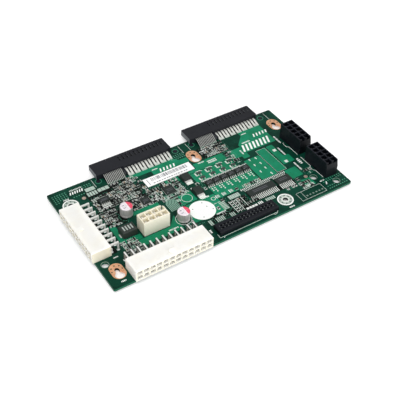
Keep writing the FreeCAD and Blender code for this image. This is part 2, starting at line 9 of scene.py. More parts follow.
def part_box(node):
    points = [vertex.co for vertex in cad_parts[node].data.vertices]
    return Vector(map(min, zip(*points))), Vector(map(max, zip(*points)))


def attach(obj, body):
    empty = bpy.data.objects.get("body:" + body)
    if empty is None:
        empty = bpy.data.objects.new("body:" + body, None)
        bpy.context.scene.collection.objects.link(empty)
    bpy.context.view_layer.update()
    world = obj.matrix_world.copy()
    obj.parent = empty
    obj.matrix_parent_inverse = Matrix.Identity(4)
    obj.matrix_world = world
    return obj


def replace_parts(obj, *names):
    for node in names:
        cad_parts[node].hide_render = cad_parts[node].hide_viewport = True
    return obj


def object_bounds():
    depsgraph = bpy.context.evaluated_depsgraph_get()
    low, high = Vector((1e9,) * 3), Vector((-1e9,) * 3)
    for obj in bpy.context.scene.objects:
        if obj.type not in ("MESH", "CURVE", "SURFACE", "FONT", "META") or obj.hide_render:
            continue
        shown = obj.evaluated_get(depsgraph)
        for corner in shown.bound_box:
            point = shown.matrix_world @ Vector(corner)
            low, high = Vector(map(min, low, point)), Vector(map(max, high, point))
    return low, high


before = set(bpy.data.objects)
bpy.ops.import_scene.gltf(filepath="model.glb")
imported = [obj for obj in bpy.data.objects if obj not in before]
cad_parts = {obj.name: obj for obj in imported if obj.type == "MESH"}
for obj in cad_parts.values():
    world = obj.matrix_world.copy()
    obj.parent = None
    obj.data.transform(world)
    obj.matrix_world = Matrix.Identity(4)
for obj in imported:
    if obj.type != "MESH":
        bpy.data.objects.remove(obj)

cad_low, cad_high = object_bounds()

# Measure: every piece is shaped in millimetres from the board's front left top corner
MM = 0.001
BOARD_LOW, BOARD_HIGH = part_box("circuit_board")
BOARD_THICK = ((BOARD_HIGH - BOARD_LOW) / MM).z
TO_FRAME = Matrix.Translation((BOARD_LOW.x, BOARD_LOW.y, BOARD_HIGH.z)) @ Matrix.Scale(MM, 4)
FROM_FRAME = TO_FRAME.inverted()

# Heights of the films on the laminate: where two kinds overlap, theirs differ
PAINTED_SHADE_HIGH = 0.02
POUR_HIGH = 0.03
PAD_HIGH = 0.05
LAND_HIGH = 0.06
PRINT_HIGH = 0.07
CORNER_STEP = 0.004
COLLAR_HIGH = 0.12

# Heights of the ink and the scored lines on the parts
MARK_HIGH = 0.02
LABEL_INK_HIGH = 0.015
CAN_INK_HIGH = 0.035
SCORE_HIGH = 0.04

# Holes in the board, as (from the left edge, from the front edge)
KEYHOLES = [(8.3, 8.6), (98.7, 71.3), (164.9, 71.3)]
KEYHOLE_ENTRY = 6.2
KEYHOLE_SLOT = 2.8
KEYHOLE_TRAVEL = 3.8
MOUNT_HOLES = [(9.2, 73.7), (125.4, 8.8)]
MOUNT_HOLE = 3.4
TOOL_HOLES = [(4.4, 19.3), (153.7, 16.2), (164.3, 5.9)]
TOOL_HOLE = 4.2
PEG_HOLES = [(33.7, 84.9), (90.9, 84.9), (103.6, 84.9), (160.8, 84.9)]
PEG_HOLE = 2.2
HOLE_SIDES = 48

# Lands round the holes and linings inside them
LAND_WIDE = 8.4
LAND_FRONT = -3.4
LAND_REAR = 9.0
LAND_ROOM = 0.1
MOUNT_LAND = 8.2
MOUNT_COLLAR = 5.0
TOOL_LAND = 5.0
PEG_RING = 4.4
PEG_RING_WIDE = 0.3
LINING_ROOM = 0.02
LINING_THICK = 0.08
BARREL_THICK = 0.1
CUT_PAST = 1.0

# Header pins, receptacle contacts and capacitor leads
PIN_SIDE = 1.0
PIN_PITCH = 4.2
TAIL_STEP = 4.3
SIGNAL_WIDE = 0.5
SIGNAL_PITCH = 1.1
SIGNAL_COUNT = 12
SIGNAL_SHADE_FRONT = 82.5
SIGNAL_SHADE_HIGH = 1.3
POWER_WIDE = 3.8
POWER_PITCH = 4.8
POWER_COUNT = 7
PSU_FRONT = 86.1
PSU_SIDES = ("left", "right")
CANS = ("left_capacitor_can", "right_capacitor_can")
CAN_LEAD_OFFSET = 1.75

# Packages on the board
LEAD_PITCH = 1.27
LEAD_FOOT = 0.1
LEAD_PAD_WIDE = 0.62
DRIVER_COUNT = 6
DRIVER_PITCH = 5.6
DRIVER_WIDE = 4.9
DRIVER_LEADS = 4
MEMORY_LEADS = 5
BUS_LONG = 20.4
BUS_GAP = 1.4
LONG_BUS_LEADS = 16
SHORT_BUS_LEADS = 8
TRANSISTOR_COUNT = 4
TRANSISTOR_PITCH = 7.9
TRANSISTOR_DEEP = 1.4
TRANSISTOR_LEG = 0.95
CONTROLLER_PITCH = 0.5
SOCKET_ROWS = (2.9, 5.1)
SOCKET_COUNT = 16

# Chip parts, and the cell of board that each of them takes
CHIP_WIDE = 1.6
CHIP_DEEP = 0.85
CHIP_HIGH = 0.5
CELL_LONG = 2.75
CELL_SHORT = 2.1
CELL_GAP = 0.1
VIA_ROOM = 0.35
UPRIGHT_SHARE = 0.4
FILLED_SHARE = 0.93
TAN_SHARE = 0.28
GAP_TRIES = 220
PARTS_SEED = 11
LABEL_SEED = 5

# Printed lines behind the low socket, as (from the left edge, front end), and bars beside bare patches
LONG_LINES = ((93.8, 14.6), (96.2, 14.6), (98.7, 14.6), (102.6, 16.6))
PATCH_BARS = (89.8, 94.6, 99.9)
PATCH_BAR_Y = 33.4

# Zones crowded with small parts, and places that stay clear of them, as (left, front, right, rear)
CROWDED = [(21, 59, 57.5, 79), (20, 43, 33, 60), (40, 48.5, 63.5, 62), (58, 46, 79, 62), (66, 36, 70, 47),
           (100.5, 68, 124, 79), (116.5, 58, 124, 68), (86.5, 50, 124, 60), (84, 20, 107, 36),
           (74, 14.8, 112, 20.5), (106, 31.2, 124, 35.5), (19, 17.5, 31, 31), (141, 9.5, 150, 22),
           (58, 60, 79, 63), (121, 14.6, 142, 16.8), (60, 18, 72, 26), (151, 20, 158, 26), (84.5, 42, 90, 62)]
KEPT_CLEAR = [(21.6, 74.2, 37.2, 79), (22, 78, 29.6, 83), (88, 20.6, 92, 27.4), (94.6, 26, 106, 31.2),
              (25.2, 61, 31.6, 64.4), (80, 35.6, 88, 38.6), (69.8, 38.4, 77.4, 46), (146.8, 16.6, 152, 21.8),
              (73.2, 14, 76, 20), (67.2, 19.4, 84.6, 36.6), (79, 51.6, 86.4, 63.2), (79, 36.8, 86.4, 48.4),
              (78.2, 13.6, 84.6, 18.2), (88.0, 13.4, 92.2, 17.2), (99.6, 13.0, 112.4, 16.0)]
KEPT_CLEAR += [(x - 0.35, front, x + 0.35, 25.8) for x, front in LONG_LINES]
KEPT_CLEAR += [(x - 0.4, 31.4, x + 2.7, 35.8) for x in PATCH_BARS]
FIRST_CIRCUIT = 90.4
for circuit in range(TRANSISTOR_COUNT):
    middle_x = FIRST_CIRCUIT + TRANSISTOR_PITCH * circuit
    KEPT_CLEAR.append((middle_x - 2.6, 50.4, middle_x + 4.2, 60.4))
# Nodes whose boxes reach over board that is free
SPREAD_NODES = ("circuit_board", "capacitor_leads", "power_transistors", "power_transistor_tabs",
                "small_transistors")


def span(node):
    """A CAD node's lowest and highest corner, in board millimetres."""
    low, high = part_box(node)
    return FROM_FRAME @ low, FROM_FRAME @ high


# Hand tools: selecting, shaping and copying
def take_up(*pieces):
    """Select these pieces alone and make the first one active."""
    bpy.ops.object.select_all(action="DESELECT")
    for piece in pieces:
        piece.select_set(True)
    bpy.context.view_layer.objects.active = pieces[0]


def begin(name, primitive, **sizes):
    """Add a primitive with nothing else selected, and open it in edit mode, wholly selected."""
    bpy.ops.object.select_all(action="DESELECT")
    primitive(**sizes)
    piece = bpy.context.object
    piece.name = name
    bpy.ops.object.mode_set(mode="EDIT")
    bpy.ops.mesh.select_all(action="SELECT")
    return piece


def begin_disc(name, sides, radius):
    """Begin with a filled flat disc."""
    return begin(name, bpy.ops.mesh.primitive_circle_add, vertices=sides, radius=radius, fill_type="NGON")


def put_down():
    """Turn every face outwards and leave edit mode."""
    bpy.ops.mesh.select_all(action="SELECT")
    bpy.ops.mesh.normals_make_consistent(inside=False)
    bpy.ops.object.mode_set(mode="OBJECT")
    return bpy.context.object


def choose(kind, test):
    """In edit mode, select only the vertices or edges whose middle passes a test."""
    bpy.ops.mesh.select_mode(type=kind)
    bpy.ops.mesh.select_all(action="DESELECT")
    mesh = bmesh.from_edit_mesh(bpy.context.object.data)
    for item in (mesh.verts if kind == "VERT" else mesh.edges):
        corners = [item] if kind == "VERT" else list(item.verts)
        if test(sum((corner.co for corner in corners), Vector()) / len(corners)):
            item.select_set(True)
    mesh.select_flush_mode()
    bmesh.update_edit_mesh(bpy.context.object.data)


def shift(x, y, z):
    """Move what is selected."""
    bpy.ops.transform.translate(value=(x, y, z))


def resize(x, y, z, level=0.0):
    """Stretch what is selected, away from the upright axis and a level on it."""
    bpy.ops.transform.resize(value=(x, y, z), center_override=(0, 0, level))


def pull(x, y, z):
    """Extrude what is selected along a step."""
    bpy.ops.mesh.extrude_region_move(TRANSFORM_OT_translate={"value": (x, y, z)})


def thicken(height):
    """Pull a whole flat shape up to a height, and put it down."""
    bpy.ops.mesh.select_all(action="SELECT")
    pull(0, 0, height)
    return put_down()


def block(name, width, depth, height, edge=0.0):
    """A block standing on the board, centred on the origin, with its upper edges broken."""
    begin(name, bpy.ops.mesh.primitive_cube_add, size=1.0)
    resize(width, depth, height)
    shift(0, 0, height / 2)
    if edge:
        choose("EDGE", lambda middle: middle.z > height - edge / 2)
        bpy.ops.mesh.bevel(offset=edge, segments=1)
    return put_down()


def turned(name, steps, sides):
    """A round solid, raised ring by ring through (radius, height) steps."""
    first_radius, foot = steps[0]
    begin_disc(name, sides, first_radius)
    shift(0, 0, foot)
    for (radius, height), (last_radius, last_height) in zip(steps[1:], steps):
        pull(0, 0, height - last_height)
        grow = radius / last_radius
        resize(grow, grow, 1, height)
    return put_down()


def button(radius, high, sides, inset, rise):
    """A small flat disc with its upper edge broken, by an inset and a rise."""
    return turned("button", [(radius, 0.0), (radius, high), (radius - inset, high + rise)], sides)


def ring(name, outer, inner, height, sides=40):
    """A flat ring: two circles bridged, then thickened."""
    begin(name, bpy.ops.mesh.primitive_circle_add, vertices=sides, radius=outer / 2)
    bpy.ops.mesh.primitive_circle_add(vertices=sides, radius=inner / 2)
    bpy.ops.mesh.select_all(action="SELECT")
    bpy.ops.mesh.bridge_edge_loops()
    return thicken(height)


def obround(name, width, length, height):
    """A disc drawn out toward the rear: its rear half is moved back by the length, then thickened."""
    begin_disc(name, HOLE_SIDES, width / 2)
    choose("VERT", lambda middle: middle.y > 0.01)
    shift(0, length, 0)
    return thicken(height)


def plate(name, corners, height):
    """A flat plate: a polygon drawn to its corners, rounded at them, then thickened."""
    rounding = 0.6
    piece = begin_disc(name, len(corners), 1.0)
    mesh = bmesh.from_edit_mesh(piece.data)
    for vertex, (x, y) in zip(mesh.verts, corners):
        vertex.co = (x, y, 0.0)
    bmesh.update_edit_mesh(piece.data)
    bpy.ops.mesh.bevel(offset=rounding, segments=3, affect="VERTICES")
    return thicken(height)


def strip(name, path, wide, thick):
    """A bent metal strip: a plane's far edge is drawn along (y, z) points, then thickened.

    It is drawn well above its place, so that its two edges can be told apart by height.
    """
    half, lift = 0.5, 50
    piece = begin(name, bpy.ops.mesh.primitive_plane_add, size=2 * half)
    (near_y, near_z), (far_y, far_z) = path[:2]
    choose("VERT", lambda middle: middle.y < 0)
    shift(0, near_y + half, near_z + lift)
    choose("VERT", lambda middle: middle.z < lift / 2)
    shift(0, far_y - half, far_z + lift)
    far_edge = Vector((0, far_y, far_z + lift))
    choose("EDGE", lambda middle: (middle - far_edge).length < 0.001)
    for (y, z), (last_y, last_z) in zip(path[2:], path[1:]):
        pull(0, y - last_y, z - last_z)
    bpy.ops.mesh.select_all(action="SELECT")
    shift(0, 0, -lift)
    resize(wide, 1, 1)
    put_down()
    wall = piece.modifiers.new("wall", "SOLIDIFY")
    wall.thickness = thick
    wall.offset = 0.0
    bpy.ops.object.modifier_apply(modifier=wall.name)
    return piece


def cut(piece, *cutters):
    """Take the cutters' shapes out of a piece."""
    for cutter in cutters:
        take_up(piece)
        saw = piece.modifiers.new("saw", "BOOLEAN")
        saw.operation = "DIFFERENCE"
        saw.solver = "EXACT"
        saw.object = cutter
        bpy.ops.object.modifier_apply(modifier=saw.name)
        bpy.data.objects.remove(cutter)


def moved(piece, x, y, z):
    """Shift a piece within its own mesh."""
    piece.data.transform(Matrix.Translation((x, y, z)))
    return piece


def joined(name, parts):
    """Several pieces made one."""
    take_up(*parts)
    if len(parts) > 1:
        bpy.ops.object.join()
    parts[0].name = name
    return parts[0]


def stamped(name, model, places):
    """One model copied to many places, each copy with its own mesh, all joined as one piece."""
    copies = []
    for place in places:
        twin = bpy.data.objects.new(name, model.data.copy())
        twin.data.transform(place)
        bpy.context.scene.collection.objects.link(twin)
        copies.append(twin)
    bpy.data.objects.remove(model)
    return joined(name, copies)


def settle(piece, slot, finish, smooth=None):
    """Bring a finished piece from board millimetres into the frame and give it its finish."""
    piece.data.transform(TO_FRAME)
    piece.data.materials.clear()
    piece.data.materials.append(finish)
    if smooth:
        take_up(piece)
        bpy.ops.object.shade_smooth_by_angle(angle=math.radians(smooth))
    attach(piece, "root")
    return piece


def lay(name, model, places, slot, finish, smooth=None):
    """Stamp a model at all its places, and settle the piece that this makes."""
    settle(stamped(name, model, places), slot, finish, smooth)


def lay_films(name, places, slot, finish):
    """Lay flat pads, bars or fields: a unit block, stretched into each of its places."""
    lay(name, block(name, 1.0, 1.0, 1.0), places, slot, finish)


# Places for copies
def spot(x, y, z=0.0, turn=0.0, stretch=(1.0, 1.0, 1.0), under=False):
    """Where a copy goes: a place on the board's top or underside, a turn in degrees and a stretch."""
    if under:
        side = Matrix.Translation((x, y, -BOARD_THICK - z)) @ Matrix.Rotation(math.pi, 4, "Y")
    else:
        side = Matrix.Translation((x, y, z))
    return side @ Matrix.Rotation(math.radians(turn), 4, "Z") @ Matrix.Diagonal((*stretch, 1.0))


def spots(places):
    """Plain spots on the board's top."""
    return [spot(x, y) for x, y in places]


def both_sides(places):
    """The same spots on the board's top and underside."""
    return [spot(x, y, under=under) for x, y in places for under in (False, True)]


def pad_spot(x, y, wide, deep, high=PAD_HIGH):
    """Where a unit block goes to make a pad."""
    return spot(x, y, 0.0, 0.0, (wide, deep, high))


def print_spot(x, y, wide, tall, turn=0.0):
    """Where a unit block goes to make a printed bar on the board."""
    return spot(x, y, 0.0, turn, (wide, tall, PRINT_HIGH))


def mark_spot(x, y, top, wide, tall, high=MARK_HIGH, turn=0.0):
    """Where a unit block goes to make a bar on top of a part."""
    return spot(x, y, top, turn, (wide, tall, high))


def stroke(start, end, wide, high):
    """Where a unit block goes to draw a straight line."""
    (x, y), (far_x, far_y) = start, end
    length = math.hypot(far_x - x, far_y - y)
    turn = math.degrees(math.atan2(far_y - y, far_x - x))
    return spot((x + far_x) / 2, (y + far_y) / 2, 0.0, turn, (length, wide, high))


def middles(low, high, count, pitch=LEAD_PITCH):
    """A row of places, centred between two ends."""
    start = (low + high) / 2 - pitch * (count - 1) / 2
    return [start + pitch * place for place in range(count)]


def driver_middles():
    """The middles of the driver ICs, from left to right."""
    left = span("driver_ics")[0].x
    return [left + count * DRIVER_PITCH + DRIVER_WIDE / 2 for count in range(DRIVER_COUNT)]


def transistor_middles():
    """The middles of the small transistors along a row, from left to right."""
    low, high = span("small_transistors")
    return middles(low.x, high.x, TRANSISTOR_COUNT, TRANSISTOR_PITCH)


# Finishes
def tone(code):
    """A colour written as six hex digits, as the linear values that a shader takes."""
    parts = [int(code[i:i + 2], 16) / 255 for i in (0, 2, 4)]
    return [c / 12.92 if c <= 0.04045 else ((c + 0.055) / 1.055) ** 2.4 for c in parts] + [1.0]


class Paint:
    """A material in the making, and the nodes that it is built from."""

    def __init__(self, name):
        self.material = bpy.data.materials.new(name)
        self.material.use_nodes = True
        self.tree = self.material.node_tree

    def add(self, kind, feeds=(), **settings):
        """Add a node, set its fields, and feed its sockets with numbers or other nodes' outputs."""
        made = self.tree.nodes.new("ShaderNode" + kind)
        for field, setting in settings.items():
            setattr(made, field, setting)
        for socket, source in dict(feeds).items():
            self.feed(made.inputs[socket], source)
        return made

    def feed(self, socket, source):
        if isinstance(source, bpy.types.NodeSocket):
            self.tree.links.new(source, socket)
        else:
            socket.default_value = source

    def reckon(self, operation, first, second=0.0):
        """One step of arithmetic on numbers or other nodes' outputs."""
        return self.add("Math", {0: first, 1: second}, operation=operation).outputs[0]


class Finish(Paint):
    """A surface finish in the making: one principled shader fed by patterns on Object coordinates."""

    def __init__(self, name, roughness, metallic=0.0, specular=0.5):
        super().__init__(name)
        self.shader = self.tree.nodes["Principled BSDF"]
        self.coat("Roughness", roughness)
        self.coat("Metallic", metallic)
        self.coat("Specular IOR Level", specular)
        self.place = self.add("TexCoord").outputs["Object"]

    def coat(self, socket, source):
        """Set one of the shader's own sockets, or feed it with a pattern."""
        self.feed(self.shader.inputs[socket], source)

    def paint(self, colour):
        self.coat("Base Color", colour)

    def grain(self, size, detail=2.0, stretch=(1.0, 1.0, 1.0)):
        """Soft noise with features about this many millimetres across."""
        mapped = self.add("Mapping", {"Vector": self.place, "Scale": stretch}).outputs["Vector"]
        feeds = {"Vector": mapped, "Scale": 1 / (size * MM), "Detail": detail}
        return self.add("TexNoise", feeds).outputs["Fac"]

    def band(self, source, low, high):
        """Nought below a low value, one above a high one."""
        feeds = {"Value": source, "From Min": low, "From Max": high}
        return self.add("MapRange", feeds).outputs["Result"]

    def blend(self, share, first, second):
        """The first colour where the share is nought, the second where it is one."""
        mix = self.add("Mix", {0: share, 6: first, 7: second}, data_type="RGBA")
        return mix.outputs[2]

    def axis(self, name):
        """How far along an axis the surface lies, in the frame's metres."""
        return self.add("SeparateXYZ", {"Vector": self.place}).outputs[name]

    def facing(self, name):
        """How much the surface looks along an axis, from minus one to one."""
        normal = self.add("NewGeometry").outputs["Normal"]
        return self.add("SeparateXYZ", {"Vector": normal}).outputs[name]

    def sides(self, axis, colour, shade):
        """Painted light and shade by facing: the shade on faces that look along an axis, the colour on all
        others.
        """
        along = self.reckon("GREATER_THAN", self.reckon("ABSOLUTE", self.facing(axis)), 0.9)
        return self.blend(along, colour, tone(shade))

    def relief(self, height, strength, depth=0.02):
        """Raise and sink the surface by a pattern, to a depth in millimetres."""
        feeds = {"Height": height, "Strength": strength, "Distance": depth * MM}
        self.coat("Normal", self.add("Bump", feeds).outputs["Normal"])

    def vary_roughness(self, source, low, high):
        feeds = {"Value": source, "To Min": low, "To Max": high}
        self.coat("Roughness", self.add("MapRange", feeds).outputs["Result"])


def solder_mask():
    """Dark green mask over bundles of fine traces, with the bare laminate showing at the cut edges."""
    trace_pitch = 0.62 * MM
    patch_size = 7.5 * MM
    made = Finish("dark_green_mask", 0.36, 0.0, 0.09)
    patch_feeds = {"Vector": made.place, "Scale": 1 / patch_size}
    patches = made.add("TexVoronoi", patch_feeds, distance="CHEBYCHEV").outputs["Color"]
    chance = made.add("SeparateColor", {"Color": patches}).outputs["Red"]
    bundles = []
    for axis, low, high in (("Y", 0.0, 0.34), ("X", 0.34, 0.62)):
        wave = made.reckon("FRACT", made.reckon("MULTIPLY", made.axis(axis), 1 / trace_pitch))
        off_middle = made.reckon("ABSOLUTE", made.reckon("SUBTRACT", wave, 0.5))
        inside = made.reckon("LESS_THAN", off_middle, 0.24)
        above = made.reckon("GREATER_THAN", chance, low)
        within = made.reckon("MULTIPLY", above, made.reckon("LESS_THAN", chance, high))
        bundles.append(made.reckon("MULTIPLY", inside, within))
    traces = made.reckon("MAXIMUM", *bundles)
    clouds = made.band(made.grain(9.0, 3.0), 0.35, 0.65)
    mask = made.blend(clouds, tone("052e22"), tone("073a2d"))
    mask = made.blend(made.reckon("MULTIPLY", traces, 0.4), mask, tone("0e5540"))
    cut_edge = made.reckon("LESS_THAN", made.reckon("ABSOLUTE", made.facing("Z")), 0.5)
    weave = made.blend(made.grain(0.5), tone("0f4d37"), tone("185f47"))
    made.paint(made.blend(cut_edge, mask, weave))
    made.relief(made.reckon("ADD", traces, made.reckon("MULTIPLY", made.grain(0.8), 0.3)), 0.5, 0.03)
    made.vary_roughness(made.grain(3.0), 0.27, 0.42)
    return made.material


def poured_copper():
    """Brighter green mask, where a wide sheet of copper lies under it, dotted with small vias."""
    dot_pitch = 2.4 * MM
    made = Finish("bright_green_mask", 0.36, 0.0, 0.16)
    clouds = made.band(made.grain(6.0, 3.0), 0.35, 0.65)
    mask = made.blend(clouds, tone("0d7752"), tone("128460"))
    dot_feeds = {"Vector": made.place, "Scale": 1 / dot_pitch, "Randomness": 0.55}
    dots = made.add("TexVoronoi", dot_feeds, voronoi_dimensions="3D").outputs["Distance"]
    near = made.band(dots, 0.16, 0.1)
    made.paint(made.blend(made.reckon("MULTIPLY", near, 0.6), mask, tone("085039")))
    made.relief(made.grain(0.7), 0.25)
    made.vary_roughness(made.grain(3.0), 0.27, 0.42)
    return made.material


def bare_copper():
    """Bright copper, with a satin grain and faint tarnish."""
    made = Finish("bare_copper", 0.42, 0.75)
    tarnish = made.band(made.grain(2.2, 3.0), 0.45, 0.75)
    made.paint(made.blend(tarnish, tone("f3bd96"), tone("e0a077")))
    made.relief(made.grain(0.3), 0.3)
    made.vary_roughness(made.grain(1.0), 0.34, 0.5)
    return made.material


def tinned(name, light, dark, roughness, metallic=0.9, side=None):
    """A tin coat: pale metal with a soft uneven shine, or a matt pad where it is less metallic; a side colour
    is painted shade on faces that look along X.
    """
    made = Finish(name, roughness, metallic)
    colour = made.blend(made.band(made.grain(0.9, 2.0), 0.4, 0.7), tone(light), tone(dark))
    if side:
        colour = made.sides("X", colour, side)
    made.paint(colour)
    made.relief(made.grain(0.35), 0.25, 0.03)
    made.vary_roughness(made.grain(0.8), roughness - 0.08, roughness + 0.1)
    return made.material


def contact_tin(name, light, dark, front, high):
    """Tin on the receptacles' contacts, painted black as shade where they lie in shade: behind a line, below
    a height; faces that look along X carry painted shade too.
    """
    made = Finish(name, 0.4, 0.35)
    low = made.reckon("LESS_THAN", made.axis("Z"), high)
    behind = made.reckon("MULTIPLY", low, made.reckon("GREATER_THAN", made.axis("Y"), front))
    bright = made.sides("X", made.blend(made.grain(0.9), tone(light), tone(dark)), "2a2d2d")
    made.paint(made.blend(behind, bright, tone("08090a")))
    made.relief(made.grain(0.35), 0.2)
    return made.material


def nylon(name, light, dark, roughness, specular, clear, wear_and_face_light):
    """Moulded nylon, with faint flow marks and a fine spark-eroded texture; pale grades let light through.

    Faces that look along an axis take another colour, given as (axis, shade) pairs: painted light and shade
    by facing.
    """
    made = Finish(name, roughness, 0.0, specular)
    made.coat("Subsurface Weight", clear)
    made.coat("Subsurface Radius", (1.0, 1.0, 1.0))
    made.coat("Subsurface Scale", 3.0 * MM)
    flow = made.band(made.grain(7.0, 2.0, (1.0, 1.0, 2.5)), 0.35, 0.7)
    colour = made.blend(flow, tone(light), tone(dark))
    for axis, shade in wear_and_face_light:
        colour = made.sides(axis, colour, shade)
    made.paint(colour)
    made.relief(made.grain(0.18), 0.25, 0.03)
    made.vary_roughness(made.grain(2.0), roughness - 0.06, roughness + 0.08)
    return made.material


def printed_can(name, centre, top):
    """A drawn aluminium can: brushed sides, and a pale printed top with a red sector on its right."""
    metallic = 0.55
    sector_edge = 1.25 * MM
    top_depth = 0.25 * MM
    made = Finish(name, 0.5, metallic)
    brushed = made.band(made.grain(0.5, 3.0, (1.0, 1.0, 0.08)), 0.35, 0.7)
    metal = made.blend(brushed, tone("cfcdcb"), tone("b4b1b0"))
    across = made.reckon("SUBTRACT", made.axis("X"), centre.x)
    sector = made.reckon("GREATER_THAN", across, sector_edge)
    wear_and_face_light = made.band(made.grain(1.1, 2.0), 0.42, 0.62)
    pale = made.blend(wear_and_face_light, tone("f3ecf1"), tone("e0d6de"))
    printed = made.blend(sector, pale, tone("e64f69"))
    flat = made.reckon("GREATER_THAN", made.axis("Z"), top - top_depth)
    made.paint(made.blend(flat, metal, printed))
    made.coat("Metallic", made.reckon("SUBTRACT", metallic, made.reckon("MULTIPLY", flat, 0.5)))
    made.relief(brushed, 0.15)
    return made.material


def mottled(name, shades, roughness, grain, band=None, relief=None, specular=0.5):
    """A plain coat that drifts between two shades by soft noise, with a fine relief as (size, strength)."""
    made = Finish(name, roughness, 0.0, specular)
    share = made.grain(*grain)
    if band:
        share = made.band(share, *band)
    made.paint(made.blend(share, *[tone(shade) for shade in shades]))
    if relief:
        size, strength = relief
        made.relief(made.grain(size), strength)
    return made.material


def screen_print(name, *shades):
    """Printing ink on the board, a little thin and mottled."""
    return mottled(name, shades, 0.6, (0.6, 3.0), (0.4, 0.75), (0.25, 0.3))


def ink(name, *shades):
    """Printing ink on the label and the part bodies, slightly worn."""
    return mottled(name, shades, 0.7, (0.5, 2.0), (0.45, 0.75), specular=0.3)


def moulded_epoxy(name, *shades):
    """Dark grey moulding compound with a fine speckle."""
    return mottled(name, shades, 0.55, (0.2, 1.0), (0.5, 0.75), (0.15, 0.3), 0.35)


def fired_ceramic(name, *shades):
    """Small chip bodies, each a slightly different shade."""
    return mottled(name, shades, 0.5, (3.0, 0.0), (0.4, 0.6), (0.2, 0.3))


# Mask, ink and paper: the mask is paler over vias, and a near-black film paints shade on it
MASK = solder_mask()
POUR = poured_copper()
# A near-black film that paints shade where shade falls: by headers, under contacts and crowded parts, in the
# keyhole slots.
SHADE = mottled("painted_shade_film", ("030806", "091712"), 0.5, (1.4,), (0.4, 0.65), (0.7, 0.25), 0.1)
TENTED = mottled("tented_via", ("357f64", "4f9a7d"), 0.4, (0.9, 2.0), None, (0.3, 0.2))
PRINT = screen_print("white_print", "fbfcf9", "e6efe9")
THIN_PRINT = screen_print("thin_print", "dde5de", "bfccc3")
FAINT_PRINT = screen_print("faint_print", "9cc4b1", "7fae99")
FADED_PRINT = screen_print("faded_print", "b4bcb6", "98a29b")
PAPER = mottled("label_paper", ("fdfdfc", "f3f3f1"), 0.75, (0.8, 3.0), None, (0.3, 0.2))
INK = ink("grey_ink", "7d7e84", "9c9da2")
FAINT_INK = ink("faint_ink", "5a5b60", "4a4b50")

# Metals
COPPER = bare_copper()
TARGET = tinned("copper_target", "d9c3b4", "b79f90", 0.4)
TIN = tinned("bright_tin", "e4e4e0", "c4c6c3", 0.32)
PIN_TIN = tinned("pin_tin", "f4f4f0", "e2e2de", 0.35, 0.4)
# Painted shade on the bent pins' faces that look along X.
BENT_TIN = tinned("bent_pin_tin", "f4f4f0", "e2e2de", 0.35, 0.4, "6f7472")
SOLDER = tinned("solder", "dfe2e0", "bcc2c0", 0.38, 0.6)
PALE_PAD = tinned("pale_pad", "eff3ed", "dae3da", 0.5, 0.25)
TOE_PAD = tinned("toe_pad", "ced8cf", "b3c0b5", 0.5, 0.3)
SMALL_PAD = tinned("small_pad", "c8d2ca", "a8b6ac", 0.5, 0.4)
DULL_PAD = tinned("dull_pad", "93a59b", "7b9086", 0.5, 0.5)
BARE_PATCH = tinned("bare_patch", "c2d3c8", "9fb8aa", 0.5, 0.3)
# Painted shade: the black headers' pins are tin darkened as if deep in shadow.
SHADOWED_TIN = tinned("shadowed_tin", "55565c", "44454a", 0.45)
SHADED_TIN = tinned("shaded_tin", "787d7d", "5a5f5f", 0.5, 0.5)
# Painted shade: the screw-hole barrels are tin darkened to the shade inside the holes.
DARK_TIN = tinned("dark_tin", "4c514e", "3a3f3c", 0.5, 0.3)
SIGNAL_TIN = contact_tin("signal_tin", "b2b3af", "9a9c98", BOARD_LOW.y + SIGNAL_SHADE_FRONT * MM,
                         BOARD_HIGH.z + SIGNAL_SHADE_HIGH * MM)
POWER_TIN = contact_tin("power_tin", "e8e8e2", "ccd0c8", BOARD_LOW.y + PSU_FRONT * MM, cad_high.z)

# Mouldings
# Painted light and shade by facing: a painted sheen on the supply housings' faces that look along X, painted
# shade on the white headers' faces that look along Y, painted light on the ivory header's faces that look
# along Y and on the tops of the black headers and socket, painted shade on the black headers' faces that look
# along Y.
BLACK_NYLON = nylon("black_nylon", "16181f", "11131a", 0.5, 0.3, 0.0, [("X", "686c70")])
WHITE_NYLON = nylon("white_nylon", "fdfbf3", "faf6ea", 0.45, 0.4, 0.6, [("Y", "f0e8d0")])
IVORY_NYLON = nylon("ivory_nylon", "fbf0d6", "f6e9cb", 0.45, 0.4, 0.6, [("Y", "fff7de")])
HEADER_BLACK = nylon("header_black", "0c1119", "080c14", 0.45, 0.2, 0.0, [("Z", "191b24"), ("Y", "080b10")])
SOCKET_BLACK = nylon("socket_black", "0a0e14", "070a10", 0.45, 0.2, 0.0, [("Z", "11141b")])
EPOXY = moulded_epoxy("moulded_epoxy", "1b2421", "323b36")
BLACK_EPOXY = moulded_epoxy("black_epoxy", "0d110f", "1c211e")
GREY_EPOXY = moulded_epoxy("grey_epoxy", "272e2a", "3c433e")
PALE_EPOXY = moulded_epoxy("pale_epoxy", "39443f", "4d5852")
TAN_CHIP = fired_ceramic("tan_ceramic", "8f7a62", "6f6152")
DARK_CHIP = fired_ceramic("dark_resistor", "1b1c20", "2b2c31")


# CAD nodes take their finishes
def dress(finish, *nodes):
    for node in nodes:
        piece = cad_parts[node]
        piece.data.materials.clear()
        piece.data.materials.append(finish)


